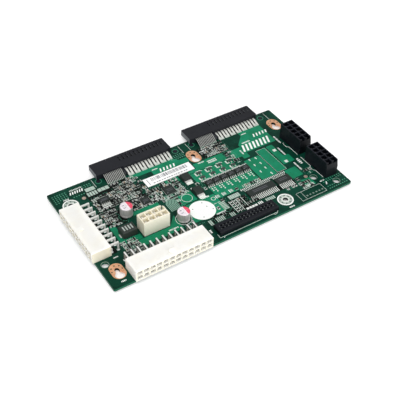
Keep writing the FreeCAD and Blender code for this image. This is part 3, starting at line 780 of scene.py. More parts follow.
dress(MASK, "circuit_board")
dress(BLACK_NYLON, "left_psu_housing", "right_psu_housing")
dress(SIGNAL_TIN, "left_psu_signal_contacts", "right_psu_signal_contacts")
dress(POWER_TIN, "left_psu_power_contacts", "right_psu_power_contacts")
dress(WHITE_NYLON, "front_header_housing", "side_header_housing")
dress(IVORY_NYLON, "centre_header_housing")
dress(HEADER_BLACK, "right_front_header_housing", "right_rear_header_housing")
dress(SOCKET_BLACK, "low_socket_housing")
dress(BENT_TIN, "front_header_pins")
dress(PIN_TIN, "side_header_pins", "centre_header_pins", "capacitor_leads")
dress(SHADOWED_TIN, "right_front_header_pins", "right_rear_header_pins")
dress(PIN_TIN, "inductor_terminals", "power_transistor_tabs")
dress(GREY_EPOXY, "power_inductor")
dress(PALE_EPOXY, "small_transistors")
dress(EPOXY, "driver_ics", "bus_ics", "memory_ic")
dress(EPOXY, "large_controller_ic", "small_controller_ic", "power_transistors")
dress(PAPER, "paper_label")


# Holes: their lands, linings and pegs
def round_cutter(radius, height):
    """A rod that reaches past both faces of a sheet of this height."""
    return turned("cutter", [(radius, -CUT_PAST), (radius, height + CUT_PAST)], HOLE_SIDES)


def slot_cutter(width, height):
    """A keyhole slot's shape that reaches past both faces of a sheet of this height."""
    return moved(obround("cutter", width, KEYHOLE_TRAVEL, height + 2 * CUT_PAST), 0, 0, -CUT_PAST)


def keyhole_lands():
    """Bare copper round each keyhole, open where the keyhole is."""
    land = obround("land", LAND_WIDE, LAND_REAR - LAND_FRONT - LAND_WIDE, LAND_HIGH)
    moved(land, 0, LAND_FRONT + LAND_WIDE / 2, 0)
    cut(land, round_cutter(KEYHOLE_ENTRY / 2, 0), slot_cutter(KEYHOLE_SLOT, 0))
    lay("keyhole_lands", land, both_sides(KEYHOLES), "copper", COPPER)


def hole_linings():
    """Walls of the holes: copper in a keyhole's entry, painted shade on the laminate in its slot, and tin
    darkened as painted shade in the screw holes.
    """
    inside = 2 * LINING_THICK
    sleeve = ring("sleeve", KEYHOLE_ENTRY - LINING_ROOM, KEYHOLE_ENTRY - inside, BOARD_THICK, HOLE_SIDES)
    cut(sleeve, slot_cutter(KEYHOLE_SLOT - LINING_ROOM, BOARD_THICK))
    slot = obround("slot", KEYHOLE_SLOT - LINING_ROOM, KEYHOLE_TRAVEL, BOARD_THICK)
    cut(slot, slot_cutter(KEYHOLE_SLOT - inside, BOARD_THICK),
        round_cutter(KEYHOLE_ENTRY / 2 - LINING_THICK, BOARD_THICK))
    barrel = ring("barrel", MOUNT_HOLE - LINING_ROOM, MOUNT_HOLE - 2 * BARREL_THICK, BOARD_THICK)
    places = [spot(x, y, -BOARD_THICK) for x, y in KEYHOLES]
    lay("keyhole_sleeves", sleeve, places, "copper", COPPER)
    lay("keyhole_slots", slot, places, "laminate", SHADE)
    lay("mount_barrels", barrel, [spot(x, y, -BOARD_THICK) for x, y in MOUNT_HOLES], "tin", DARK_TIN)


def hole_lands():
    """Rings round the plain holes, with a raised collar at the two mounting holes."""
    mount_inner = MOUNT_HOLE + LAND_ROOM
    for name, holes, outer, inner, high, slot, finish in (
            ("mount_lands", MOUNT_HOLES, MOUNT_LAND, mount_inner, PAD_HIGH, "tin", SMALL_PAD),
            ("tool_lands", TOOL_HOLES, TOOL_LAND, TOOL_HOLE + LAND_ROOM, PAD_HIGH, "tin", DULL_PAD),
            ("peg_rings", PEG_HOLES, PEG_RING, PEG_RING - 2 * PEG_RING_WIDE, PAD_HIGH, "laminate", TENTED),
            ("mount_collars", MOUNT_HOLES, MOUNT_COLLAR, mount_inner, COLLAR_HIGH, "tin", PALE_PAD)):
        lay(name, ring(name, outer, inner, high), both_sides(holes), slot, finish)


def peg_ends():
    """The receptacles' locating pegs, filling the four small holes."""
    side = PEG_HOLE / 2 - 0.05
    foot = -BOARD_THICK - 0.3
    steps = [(side - 0.15, foot), (side, foot + 0.2), (side, 0.02), (1.4, 0.03), (1.4, 0.1), (1.3, 0.14)]
    lay("peg_ends", turned("peg", steps, 28), spots(PEG_HOLES), "black_nylon", HEADER_BLACK, 40)


def land_vias():
    """Small stitching vias in the mounting lands, eight round each screw hole and five along each keyhole."""
    circle = 3.4
    dots = []
    for x, y in MOUNT_HOLES:
        for turn in range(8):
            angle = math.radians(22.5 + 45 * turn)
            dots.append((x + circle * math.cos(angle), y + circle * math.sin(angle)))
    for x, y in KEYHOLES:
        dots += [(x - 3.3, y + 3.4), (x + 3.3, y + 3.4), (x - 2.5, y + 6.0), (x + 2.5, y + 6.0), (x, y + 7.2)]
    lay("land_vias", button(0.44, LAND_HIGH + 0.01, 10, 0.08, 0.02), spots(dots), "laminate", MASK)


# Fields of copper and of painted shade, and the pads and solder of the connectors
def bright_pours():
    """Wide copper areas under the mask, drawn as plates a little proud of the laminate."""
    outlines = [
        [(53, 75.8), (53, 79.2), (85.4, 79.2), (88.6, 76.0), (94, 76.0), (94, 71.6), (67.2, 71.6),
         (67.2, 75.8)],
        [(69.5, 58.6), (69.5, 63.0), (79.0, 63.0), (79.0, 58.6)],
        [(93.6, 60.2), (87.2, 60.2), (87.2, 63.0), (93.6, 63.0), (93.6, 67.4), (116.2, 67.4), (116.2, 60.2)],
        [(118.5, 57.4), (122.5, 66.0), (131.0, 66.0), (131.0, 54.5), (126.2, 54.5), (126.2, 57.4)],
        [(137.6, 75.4), (130.6, 68.2), (130.6, 59.2), (155.5, 59.2), (155.5, 79.2), (137.6, 79.2)],
        [(124.0, 31.2), (124.0, 52.6), (136.2, 52.6), (136.2, 31.2)],
        [(137.0, 32.4), (137.0, 56.8), (144.3, 56.8), (144.3, 32.4)],
        [(145.2, 36.2), (145.2, 57.0), (150.2, 57.0), (150.2, 43.6), (154.0, 43.6), (154.0, 36.2)],
        [(90.4, 31.4), (90.4, 42.4), (123.0, 42.4), (123.0, 31.4)],
        [(86.8, 50.4), (86.8, 59.8), (118.2, 59.8), (118.2, 50.4)],
        [(67.0, 37.8), (67.0, 47.8), (78.8, 47.8), (78.8, 37.8)],
        [(66.6, 20.8), (66.6, 25.0), (69.0, 36.8), (90.0, 36.8), (90.0, 20.8)],
        [(30.0, 20.6), (30.0, 26.2), (52.0, 26.2), (58.5, 33.5), (58.5, 20.6)],
        [(20.2, 26.6), (20.2, 45.2), (23.8, 45.2), (23.8, 30.6), (33.6, 30.6), (33.6, 26.6)],
        [(37.5, 45.6), (37.5, 48.8), (56.0, 48.8), (56.0, 45.6)],
        [(141.0, 22.0), (141.0, 31.0), (150.0, 31.0), (150.0, 22.0)],
        [(144.5, 10.6), (144.5, 17.8), (151.4, 17.8), (151.4, 10.6)],
    ]
    plates = [plate("pour", corners, POUR_HIGH) for corners in outlines]
    settle(joined("bright_pours", plates), "laminate", POUR)


def painted_shade_fields():
    """Painted shade: near-black films below the receptacles' contacts, by the edge headers and ICs, and under
    crowded parts.
    """
    fields = [(11.1, 24.2, 15.3, 66.4), (13.6, 11.2, 64.8, 13.5), (107.2, 17.0, 141.2, 21.6),
              (21, 60, 52, 79), (20, 43, 33, 60), (40, 49, 63.5, 60), (103.4, 68, 122, 79),
              (92.4, 20.6, 106, 26), (76, 14.8, 106, 20.2)]
    for side in PSU_SIDES:
        for contacts, toe in (("_psu_signal_contacts", 0.7), ("_psu_power_contacts", 0.4)):
            low, high = span(side + contacts)
            fields.append((low.x - 0.1, low.y + toe, high.x + 0.1, PSU_FRONT))
    places = [pad_spot((left + right) / 2, (front + rear) / 2, right - left, rear - front, PAINTED_SHADE_HIGH)
              for left, front, right, rear in fields]
    lay_films("painted_shade_fields", places, "laminate", SHADE)


def receptacle_pads():
    """Solder pads under the toes of the supply receptacles' contacts."""
    pads = []
    for side in PSU_SIDES:
        low = span(side + "_psu_signal_contacts")[0]
        first = low.x + SIGNAL_WIDE / 2
        pads += [pad_spot(first + count * SIGNAL_PITCH, low.y + 0.2, 0.6, 1.1)
                 for count in range(SIGNAL_COUNT)]
        low = span(side + "_psu_power_contacts")[0]
        first = low.x + POWER_WIDE / 2
        pads += [pad_spot(first + count * POWER_PITCH, low.y + 0.5, POWER_WIDE, 2.8)
                 for count in range(POWER_COUNT)]
    lay_films("receptacle_pads", pads, "tin", TOE_PAD)


def pin_row(low, high):
    """The middles of a row of pins, from the ends of their bounding box."""
    count = round((high - low - PIN_SIDE) / PIN_PITCH) + 1
    return [low + PIN_SIDE / 2 + PIN_PITCH * place for place in range(count)]


def pin_tails():
    """Where every header pin passes through the board, with whether its solder shows from above."""
    tails = []
    low, high = span("front_header_pins")
    for x in pin_row(low.x, high.x):
        tails += [(x, high.y - PIN_SIDE / 2 - step, True) for step in (0, TAIL_STEP)]
    low, high = span("side_header_pins")
    for y in pin_row(low.y, high.y):
        tails += [(high.x - PIN_SIDE / 2 - step, y, True) for step in (0, TAIL_STEP)]
    for node in ("centre_header_pins", "right_front_header_pins", "right_rear_header_pins"):
        low, high = span(node)
        tails += [(x, y, False) for x in pin_row(low.x, high.x) for y in pin_row(low.y, high.y)]
    return tails


def solder_joints():
    """Cones of solder round the pin tails: below on every pin, above where a right-angle pin goes in."""
    places = []
    for x, y, seen_above in pin_tails():
        places.append(spot(x, y, under=True))
        if seen_above:
            places.append(spot(x, y, stretch=(1.0, 1.0, 0.55)))
    for can in CANS:
        low, high = span(can)
        middle = (low + high) / 2
        for side in (-CAN_LEAD_OFFSET, CAN_LEAD_OFFSET):
            places.append(spot(middle.x + side, middle.y, stretch=(0.7, 0.7, 0.7), under=True))
    cone = turned("cone", [(1.05, 0.0), (1.0, 0.06), (0.78, 0.28), (0.62, 0.75), (0.52, 1.0)], 14)
    lay("solder_joints", cone, places, "tin", SOLDER, 40)


# Leads of the small packages
def gull_wing(high, reach, wide, thick):
    """A lead that leaves a package's side, drops to the board and turns out flat."""
    path = [(-0.2, high), (0.3 * reach, high), (0.5 * reach, LEAD_FOOT), (reach, LEAD_FOOT)]
    return strip("lead", path, wide, thick)


def lead_row(x_places, low, high):
    """The same leads along a package's rear and front sides."""
    rear = [spot(x, high.y) for x in x_places]
    return rear + [spot(x, low.y, turn=180.0) for x in x_places]


def package_leads():
    """Gull-wing leads of the driver, memory and bus ICs, and the pads that they stand on."""
    low, high = span("driver_ics")
    drivers = []
    for x in driver_middles():
        drivers += lead_row(middles(x, x, DRIVER_LEADS), low, high)
    low, high = span("memory_ic")
    drivers += lead_row(middles(low.x, high.x, MEMORY_LEADS), low, high)
    pads = [place @ pad_spot(0, 1.15, LEAD_PAD_WIDE, 1.4) for place in drivers]
    low, high = span("bus_ics")
    buses = []
    for left, right, count in ((low.x, low.x + BUS_LONG, LONG_BUS_LEADS),
                               (low.x + BUS_LONG + BUS_GAP, high.x, SHORT_BUS_LEADS)):
        row = lead_row(middles(left, right, count), low, high)
        pads += [place @ pad_spot(0, 1.2, LEAD_PAD_WIDE, 1.5) for place in row[:count]]
        pads += [place @ pad_spot(0, 2.3, LEAD_PAD_WIDE, 3.8) for place in row[count:]]
        buses += row
    coarse = stamped("coarse", gull_wing(0.85, 1.15, 0.48, 0.16), drivers)
    fine = stamped("fine", gull_wing(0.6, 1.3, 0.48, 0.14), buses)
    lay_films("lead_pads", pads, "tin", PALE_PAD)
    settle(joined("package_leads", [coarse, fine]), "tin", TIN)


def transistor_leads():
    """Three leads on each small transistor: two in front, one behind."""
    low, high = span("small_transistors")
    places = []
    for x in transistor_middles():
        for front in (low.y, high.y - TRANSISTOR_DEEP):
            places += [spot(x + side, front, turn=180.0) for side in (-TRANSISTOR_LEG, TRANSISTOR_LEG)]
            places.append(spot(x, front + TRANSISTOR_DEEP))
    lay_films("transistor_pads", [place @ pad_spot(0, 0.75, 0.7, 0.9) for place in places], "tin", PALE_PAD)
    lay("transistor_leads", gull_wing(0.5, 0.7, 0.42, 0.14), places, "tin", TIN)


def leadless_pads():
    """Pads that show round the edges of the two square controllers."""
    wide, deep, high_up, out = 0.28, 0.7, 0.2, 0.2
    pads = []
    for node, count in (("large_controller_ic", 12), ("small_controller_ic", 10)):
        low, high = span(node)
        for x in middles(low.x, high.x, count, CONTROLLER_PITCH):
            pads += [pad_spot(x, y, wide, deep, high_up) for y in (low.y - out, high.y + out)]
        for y in middles(low.y, high.y, count, CONTROLLER_PITCH):
            pads += [pad_spot(x, y, deep, wide, high_up) for x in (low.x - out, high.x + out)]
    lay_films("controller_pads", pads, "tin", TIN)


def socket_contacts():
    """Facing rows of sprung contacts, their tips showing in the low socket's two slots."""
    low, high = span("low_socket_housing")
    places = [spot(x, low.y + row, turn=turn) for row in SOCKET_ROWS
              for x in middles(low.x, high.x, SOCKET_COUNT, 2 * LEAD_PITCH) for turn in (0.0, 180.0)]
    tip = strip("tip", [(-0.42, 1.0), (-0.42, 2.7), (-0.24, 3.16), (-0.1, 2.8)], 0.6, 0.16)
    lay("socket_contacts", tip, places, "tin", SHADED_TIN)


# Can capacitors
def cans():
    """Turned cans in place of the plain ones: rolled foot, crimped neck, rounded shoulder and rim."""
    for node in CANS:
        low, high = span(node)
        tall = high.z - low.z
        wide = (high.x - low.x) / 2
        steps = [(wide - 0.3, 0.0), (wide, 0.3), (wide, 1.15), (wide - 0.28, 1.4), (wide - 0.28, 1.65),
                 (wide, 1.9), (wide, tall - 0.5), (wide - 0.12, tall - 0.22), (wide - 0.4, tall),
                 (wide - 0.6, tall), (wide - 0.66, tall - 0.09)]
        can = turned(node.replace("_can", ""), steps, 48)
        moved(can, (low.x + high.x) / 2, (low.y + high.y) / 2, low.z)
        low_place, high_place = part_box(node)
        finish = printed_can(node + "_print", (low_place + high_place) / 2, high_place.z)
        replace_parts(settle(can, "aluminium", finish, 30), node)


def can_marks():
    """The scored vent across each can's top and two plain bars of print beside it."""
    scores = []
    bars = []
    for node in CANS:
        low, high = span(node)
        x, y, top = (low.x + high.x) / 2, (low.y + high.y) / 2, high.z - 0.1
        scores += [mark_spot(x - 0.2, y, top, 5.6, 0.16, SCORE_HIGH, turn) for turn in (0.0, 90.0)]
        bars += [mark_spot(x - 1.6, y + side, top, 1.5, 0.55, CAN_INK_HIGH) for side in (-1.2, 1.2)]
    lay_films("can_vents", scores, "aluminium", SOLDER)
    lay_films("can_print", bars, "silk", INK)


# Printing on the parts
def part_marks():
    """Plain bars and first-pin dots where the packages carry their printing."""
    low, high = span("power_inductor")
    middle = (low.y + high.y) / 2
    large = [mark_spot(x, middle, high.z, 0.8, 3.6) for x in middles(low.x, high.x, 4, 1.8)]
    lay_films("inductor_marks", large, "silk", FADED_PRINT)
    bars = []
    dots = []
    low, high = span("driver_ics")
    for x in driver_middles():
        bars += [mark_spot(x, low.y + deep, high.z, 2.6, 0.45) for deep in (1.4, 2.4)]
        dots.append(spot(x - DRIVER_WIDE / 2 + 0.8, low.y + 0.8, high.z))
    low, high = span("bus_ics")
    for left, wide in ((low.x + 4, 11.0), (low.x + BUS_LONG + BUS_GAP + 2.5, 6.0)):
        bars += [mark_spot(left + wide / 2, low.y + deep, high.z, wide, 0.55) for deep in (2.1, 3.4)]
    for node, inset in (("large_controller_ic", 0.9), ("small_controller_ic", 0.8), ("memory_ic", 0.9)):
        low, high = span(node)
        wide, deep = high.x - low.x, high.y - low.y
        bars += [mark_spot((low.x + high.x) / 2, low.y + deep * share, high.z, wide * 0.6, 0.45)
                 for share in (0.35, 0.55)]
        dots.append(spot(low.x + inset, low.y + inset, high.z))
    lay_films("part_marks", bars, "silk", FAINT_INK)
    lay("first_pin_dots", button(0.32, MARK_HIGH, 12, 0.06, 0.005), dots, "silk", INK)


def label_print():
    """Two rows of plain bars on the paper label: upright bars above, short dashes below."""
    low, high = span("paper_label")
    chance = random.Random(LABEL_SEED)
    bars = []
    for left, right, y, tall, widths, gaps in (
            (low.x + 5.2, high.x - 3.0, high.y - 2.6, 3.0, (0.25, 0.25, 0.45, 0.7), (0.3, 0.4, 0.6)),
            (low.x + 5.6, high.x - 4.0, low.y + 1.7, 0.7, (0.7, 0.9, 1.3), (0.6, 0.9))):
        x = left
        while x < right:
            wide = chance.choice(widths)
            bars.append(mark_spot(x, y, high.z, wide, tall, LABEL_INK_HIGH))
            x += wide + chance.choice(gaps)
    bars.append(mark_spot(low.x + 2.4, (low.y + high.y) / 2, high.z, 0.4, 5.4, LABEL_INK_HIGH))
    lay_films("label_print", bars, "silk", INK)


# Printing on the board
def caption(x, y, count, tall, turn=0.0):
    """A run of short plain bars where the board carries a small marking."""
    angle = math.radians(turn)
    step = tall * 0.78
    bars = []
    for place in range(count):
        along = step * (place + 0.5)
        height = tall if place % 3 else tall * 0.75
        bars.append(print_spot(x + along * math.cos(angle), y + along * math.sin(angle),
                               step * 0.62, height, turn))
    return bars


def hatch(x, y, count, tall, step, wide):
    """A field of leaning strokes where the board carries a large marking."""
    lean = tall * 0.35
    starts = [x + place * step for place in range(count)]
    return [stroke((start, y), (start + lean, y + tall), wide, PRINT_HIGH) for start in starts]


def lines(points, wide=0.3):
    """A bent printed line through the given points, every second stretch a little higher than the others."""
    return [stroke(start, end, wide, PRINT_HIGH + CORNER_STEP * (place % 2))
            for place, (start, end) in enumerate(zip(points, points[1:]))]


def frame_lines(left, front, right, rear, wide):
    """A printed rectangle."""
    return lines([(left, front), (right, front), (right, rear), (left, rear), (left, front)], wide)


# Captions as (left, front, bars, height), with a turn in degrees where they don't run to the right
CAPTIONS = [
    (68.0, 76.3, 6, 0.9), (138.4, 76.4, 6, 0.9), (133.6, 68.4, 7, 1.2), (128.4, 58.6, 6, 1.0, 90.0),
    (156.6, 55.2, 9, 1.2, 90.0), (151.8, 26.0, 10, 1.1, 90.0), (151.8, 43.6, 10, 1.1, 90.0),
    (154.4, 10.6, 5, 1.0), (155.9, 30.6, 4, 2.0, 90.0), (144.2, 11.6, 5, 1.6), (123.2, 1.6, 5, 1.0),
    (156.6, 6.2, 4, 0.9, 60.0), (133.0, 32.4, 3, 1.0, 90.0), (132.8, 50.0, 3, 0.9, 90.0),
    (132.7, 44.3, 3, 0.9, 90.0), (132.7, 38.9, 3, 0.9, 90.0), (128.1, 44.5, 3, 0.9, 90.0),
    (127.8, 37.4, 3, 0.9, 90.0), (128.2, 50.6, 3, 0.9, 90.0), (70.4, 8.2, 3, 1.3, 90.0),
    (6.2, 3.2, 4, 1.1), (6.8, 79.8, 5, 1.0), (10.8, 21.3, 5, 0.8), (49.2, 23.4, 8, 1.1),
    (81.4, 20.2, 8, 1.1), (80.8, 36.6, 6, 1.2), (97.0, 66.3, 6, 1.0), (103.2, 65.0, 8, 1.1),
    (103.2, 63.4, 8, 1.1), (104.0, 75.6, 9, 1.2),
]
# Hatched fields as (left, front, strokes, height, step, width)
HATCHES = [(72.6, 72.2, 5, 2.9, 2.5, 0.95), (145.2, 70.0, 5, 2.9, 2.5, 0.95),
           (130.6, 60.2, 8, 6.4, 2.85, 1.35), (13.0, 82.2, 6, 2.3, 1.6, 0.75)]


def board_print():
    """Outlines, captions and hatched fields printed in white on the board's top, thin lines more faintly."""
    marks = []
    for row in CAPTIONS:
        marks += caption(*row)
    for row in HATCHES:
        marks += hatch(*row)
    # Beside the two black headers, and behind the driver row
    marks += lines([(159.0, 13.0), (159.0, 20.8), (157.8, 22.0), (157.8, 25.0), (159.0, 26.0), (159.0, 36.4)])
    marks += lines([(158.8, 39.6), (158.8, 48.6), (157.4, 50.0), (157.4, 53.6), (158.2, 54.4)])
    marks += lines([(89.4, 50.1), (124.4, 50.1)], 0.24)
    # Behind the low socket, and beside the bare patches
    marks += [print_spot(x, 14.2, 1.75, 2.1) for x in (100.7, 102.8, 104.9, 107.0)]
    marks += [print_spot(x, 14.4, 0.75, 2.6) for x in (109.3, 110.5, 111.7)]
    marks += [print_spot(x, PATCH_BAR_Y, 0.5, 2.8) for x in PATCH_BARS]
    lay_films("board_print", marks, "silk", PRINT)

    faint = caption(13.6, 85.9, 9, 1.2)
    # Beside the supply receptacles, and behind the low socket
    for x in (30.2, 95.0, 100.6, 165.6):
        faint += lines([(x, 80.6), (x, 88.4)], 0.24)
    for x, front in LONG_LINES:
        faint += lines([(x, front), (x, 25.6)], 0.4)
    # Round the field at the right front edge, and round a bright pour on the right half
    faint += frame_lines(134.0, 1.8, 153.2, 9.3, 0.16) + lines([(137.6, 1.8), (137.6, 9.3)], 0.16)
    faint += frame_lines(136.7, 32.0, 143.9, 56.8, 0.13)
    # In front of the low socket
    faint += lines([(72.4, 5.6), (72.4, 2.4), (114.4, 2.4), (115.6, 3.4)], 0.24)
    faint += lines([(74.2, 1.4), (75.4, 2.0)]) + lines([(111.4, 2.2), (112.0, 1.2), (114.6, 2.2)], 0.2)
    lay_films("faint_print", faint, "silk", THIN_PRINT)


def printed_rings():
    """Rings round the mounting holes and the right can, two on the open board, and the blank round field."""
    low, high = span("right_capacitor_can")
    sizes = [(x, y, 10.4, 8.7) for x, y in MOUNT_HOLES]
    sizes += [(73.6, 42.2, 7.2, 6.8), (87.4, 33.0, 3.0, 2.5)]
    sizes.append(((low.x + high.x) / 2, (low.y + high.y) / 2, 10.2, 9.7))
    rings = [moved(ring("ring", outer, inner, PRINT_HIGH), x, y, 0) for x, y, outer, inner in sizes]
    rings.append(moved(button(8.4, PRINT_HIGH - 0.01, 72, 0.04, 0.01), 76.0, 28.0, 0))
    settle(joined("printed_rings", rings), "silk", PRINT)


def targets():
    """Two round placing targets, and the vias that show in the blank round field."""
    disc = button(1.3, PAD_HIGH, 32, 0.08, 0.01)
    lay("targets", disc, spots([(149.8, 19.3), (19.0, 75.6)]), "copper", TARGET)
    via = button(0.34, PRINT_HIGH + 0.01, 12, 0.06, 0.01)
    places = [(79.2, 33.6), (82.4, 25.6), (71.2, 31.6), (73.6, 22.4), (80.2, 29.4)]
    lay("field_vias", via, spots(places), "laminate", MASK)


# Small parts, placed where the board has room
class Room:
    """What is still free on the board's top."""

    def __init__(self, seed):
        self.chance = random.Random(seed)
        self.taken = list(KEPT_CLEAR)
        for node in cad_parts:
            if node not in SPREAD_NODES:
                low, high = span(node)
                self.taken.append((low.x, low.y, high.x, high.y))
        self.taken += [(x - 5.2, y - 5.2, x + 5.2, y + 9.8) for x, y in MOUNT_HOLES + KEYHOLES]

    def free(self, left, front, right, rear):
        return not any(left < far_right and right > far_left and front < far_rear and rear > far_front
                       for far_left, far_front, far_right, far_rear in self.taken)

    def cells(self, zone):
        """Free cells of a zone in rows, some rows with their cells upright, as board spots."""
        left, front, right, rear = zone
        y = front
        while y < rear - CELL_SHORT:
            upright = self.chance.random() < UPRIGHT_SHARE
            wide, deep = (CELL_SHORT, CELL_LONG) if upright else (CELL_LONG, CELL_SHORT)
            x = left + self.chance.uniform(0.0, 1.0)
            while x < right - wide:
                edges = (x + CELL_GAP, y + CELL_GAP, x + wide - CELL_GAP, y + deep - CELL_GAP)
                if self.free(*edges) and self.chance.random() < FILLED_SHARE:
                    self.taken.append(edges)
                    turn = (90.0 if upright else 0.0) + self.chance.choice((0.0, 180.0))
                    yield spot(x + wide / 2, y + deep / 2, 0.0, turn)
                x += wide
            y += deep

    def gaps(self, zone):
        """Small free places left over in a zone."""
        left, front, right, rear = zone
        for _ in range(GAP_TRIES):
            x, y = self.chance.uniform(left, right), self.chance.uniform(front, rear)
            edges = (x - VIA_ROOM, y - VIA_ROOM, x + VIA_ROOM, y + VIA_ROOM)
            if self.free(*edges):
                self.taken.append(edges)
                yield spot(x, y)


def chip_body():
    """A chip's body: a low block with broken upper edges."""
    return block("chip", CHIP_WIDE * 0.64, CHIP_DEEP, CHIP_HIGH, 0.06)


def chip_ends():
    """A chip's two tinned ends, wrapped over the body and standing on their pads."""
    ends = []
    for side in (-1, 1):
        cap = block("cap", CHIP_WIDE * 0.2, CHIP_DEEP * 1.06, CHIP_HIGH * 1.06, 0.07)
        ends.append(moved(cap, side * CHIP_WIDE * 0.41, 0, 0))
        foot = block("foot", CHIP_WIDE * 0.34, CHIP_DEEP * 1.2, PAD_HIGH)
        ends.append(moved(foot, side * CHIP_WIDE * 0.52, 0, 0))
    return joined("ends", ends)


# What can fill a cell, with its weight in the draw: chips as (x, y, scale), mouldings as (wide, deep, high),
# pads as (x, y, wide, deep, high), vias as (x, y) and printed bars as (x, y, wide, tall)
FILLINGS = [
    # A chip with printed lines on two sides
    {"weight": 26, "chips": [(0.0, 0.0, 1.1)], "bars": [(0.0, 0.88, 2.3, 0.3), (1.28, 0.0, 0.25, 1.6)]},
    # Two smaller chips with a printed line at their end
    {"weight": 14, "chips": [(-0.2, y, 0.78) for y in (-0.55, 0.55)], "bars": [(1.15, 0.0, 0.32, 1.5)]},
    # Two bare pads with a printed line beside them
    {"weight": 12, "pads": [(x, -0.1, 0.95, 1.05) for x in (-0.78, 0.78)], "bars": [(0.0, 0.75, 2.3, 0.26)]},
    # Four resistors in one body
    {"weight": 22, "mouldings": [(2.3, 1.1, 0.45)],
     "pads": [(x, y, 0.34, 0.5, 0.3) for x in middles(-1.0, 1.0, 4, 0.55) for y in (-0.7, 0.7)]},
    # Six vias with a short bar of print between them
    {"weight": 6, "vias": [(x, y) for x in (-0.85, 0.0, 0.85) for y in (-0.6, 0.6)],
     "bars": [(0.0, 0.0, 2.0, 0.34)]},
    # A small three-legged moulding
    {"weight": 20, "mouldings": [(1.9, 1.15, 0.85)],
     "pads": [(x, y, 0.6, 0.5, 0.18) for x, y in ((-0.6, -0.75), (0.6, -0.75), (0.0, 0.75))]},
]


def small_parts():
    """Chip parts, arrays, small mouldings, bare pads, vias and their printing, in the crowded zones."""
    room = Room(PARTS_SEED)
    chance = room.chance
    tan, dark, mouldings, pads, bars, vias = [], [], [], [], [], []
    weights = [filling["weight"] for filling in FILLINGS]
    for base in (base for zone in CROWDED for base in room.cells(zone)):
        filling = chance.choices(FILLINGS, weights)[0]
        for x, y, scale in filling.get("chips", ()):
            kind = tan if chance.random() < TAN_SHARE else dark
            kind.append(base @ spot(x, y) @ Matrix.Scale(scale, 4))
        mouldings += [base @ spot(0, 0, stretch=size) for size in filling.get("mouldings", ())]
        pads += [base @ pad_spot(*pad) for pad in filling.get("pads", ())]
        bars += [base @ print_spot(*bar) for bar in filling.get("bars", ())]
        vias += [base @ spot(*via) for via in filling.get("vias", ())]
    for zone in CROWDED:
        vias += room.gaps(zone)
    lay("tan_chips", chip_body(), tan, "ceramic", TAN_CHIP)
    lay("dark_chips", chip_body(), dark, "resistor", DARK_CHIP)
    lay("chip_ends", chip_ends(), tan + dark, "tin", TIN)
    lay("small_mouldings", block("moulding", 1.0, 1.0, 1.0, 0.12), mouldings, "epoxy", BLACK_EPOXY)
    lay_films("small_pads", pads, "tin", SMALL_PAD)
    lay_films("chip_print", bars, "silk", THIN_PRINT)
    lay("vias", button(0.26, PAD_HIGH, 8, 0.06, 0.02), vias, "laminate", TENTED)


# Pads, vias and traces in rows
def repeated_circuits():
    """Pads and lines of the four like circuits behind the drivers and the six in front of them."""
    pads = []
    marks = []
    for x in transistor_middles():
        pads += [pad_spot(x - 2.4, 57.9, 0.9, 2.6), pad_spot(x - 1.9, 56.4, 1.8, 0.7),
                 pad_spot(x - 2.2, 52.9, 0.9, 2.2), pad_spot(x - 1.5, 51.6, 1.9, 0.7)]
        marks += lines([(x - 1.6, 60.0), (x + 2.0, 60.0), (x + 3.2, 59.0)])
        marks += lines([(x - 3.2, 50.6), (x + 3.8, 50.6)], 0.22)
    for x in driver_middles():
        places = [(-0.95, 41.0), (-0.95, 39.3), (0.95, 41.0), (0.95, 39.3), (0.95, 37.6)]
        pads += [pad_spot(x + across, y, 0.9, 0.95) for across, y in places]
    lay_films("circuit_pads", pads, "tin", PALE_PAD)
    lay_films("circuit_print", marks, "silk", PRINT)


def stitching_vias():
    """Rows of tented vias: left rear corner, right front corner, and the left receptacle's right end."""
    printed = [(11.8, 80.2, 22.6, 88.0), (5.6, 78.0, 14.0, 80.4), (22.2, 79.0, 29.4, 83.4)]
    places = [(x, y) for x in middles(2.0, 28.0, 16, 1.7) for y in middles(79.4, 86.2, 5, 1.7)
              if not any(left < x < right and front < y < rear for left, front, right, rear in printed)]
    places += [(x, y) for x in middles(156.0, 170.0, 9, 1.7) for y in (2.2, 4.4, 8.8, 10.4)]
    places += [(x, y) for x in middles(84.0, 94.0, 7, 1.6) for y in (79.6, 81.2, 77.9)]
    clear = [(x, y) for x, y in places
             if all(math.hypot(x - far_x, y - far_y) > 3.0 for far_x, far_y in TOOL_HOLES + PEG_HOLES)]
    lay("stitching_vias", button(0.46, PAD_HIGH, 8, 0.1, 0.02), spots(clear), "laminate", TENTED)


# Rows of bare patches as (first one's middle from the left, count, pitch, from the front, width, depth)
PATCH_ROWS = [(115.2, 5, 1.4, 14.6, 1.0, 2.6), (79.0, 5, 1.2, 15.9, 0.7, 3.8),
              (88.8, 3, 1.2, 15.3, 0.7, 3.2), (73.9, 2, 1.2, 15.8, 0.9, 4.4),
              (96.425, 6, 1.35, 28.3, 1.15, 3.4), (22.7, 4, 1.75, 76.8, 1.3, 3.6),
              (30.6, 3, 2.6, 77.2, 2.35, 3.0)]


def pad_row(first, count, pitch, y, wide, deep):
    """Like pads side by side."""
    return [pad_spot(first + pitch * place, y, wide, deep) for place in range(count)]


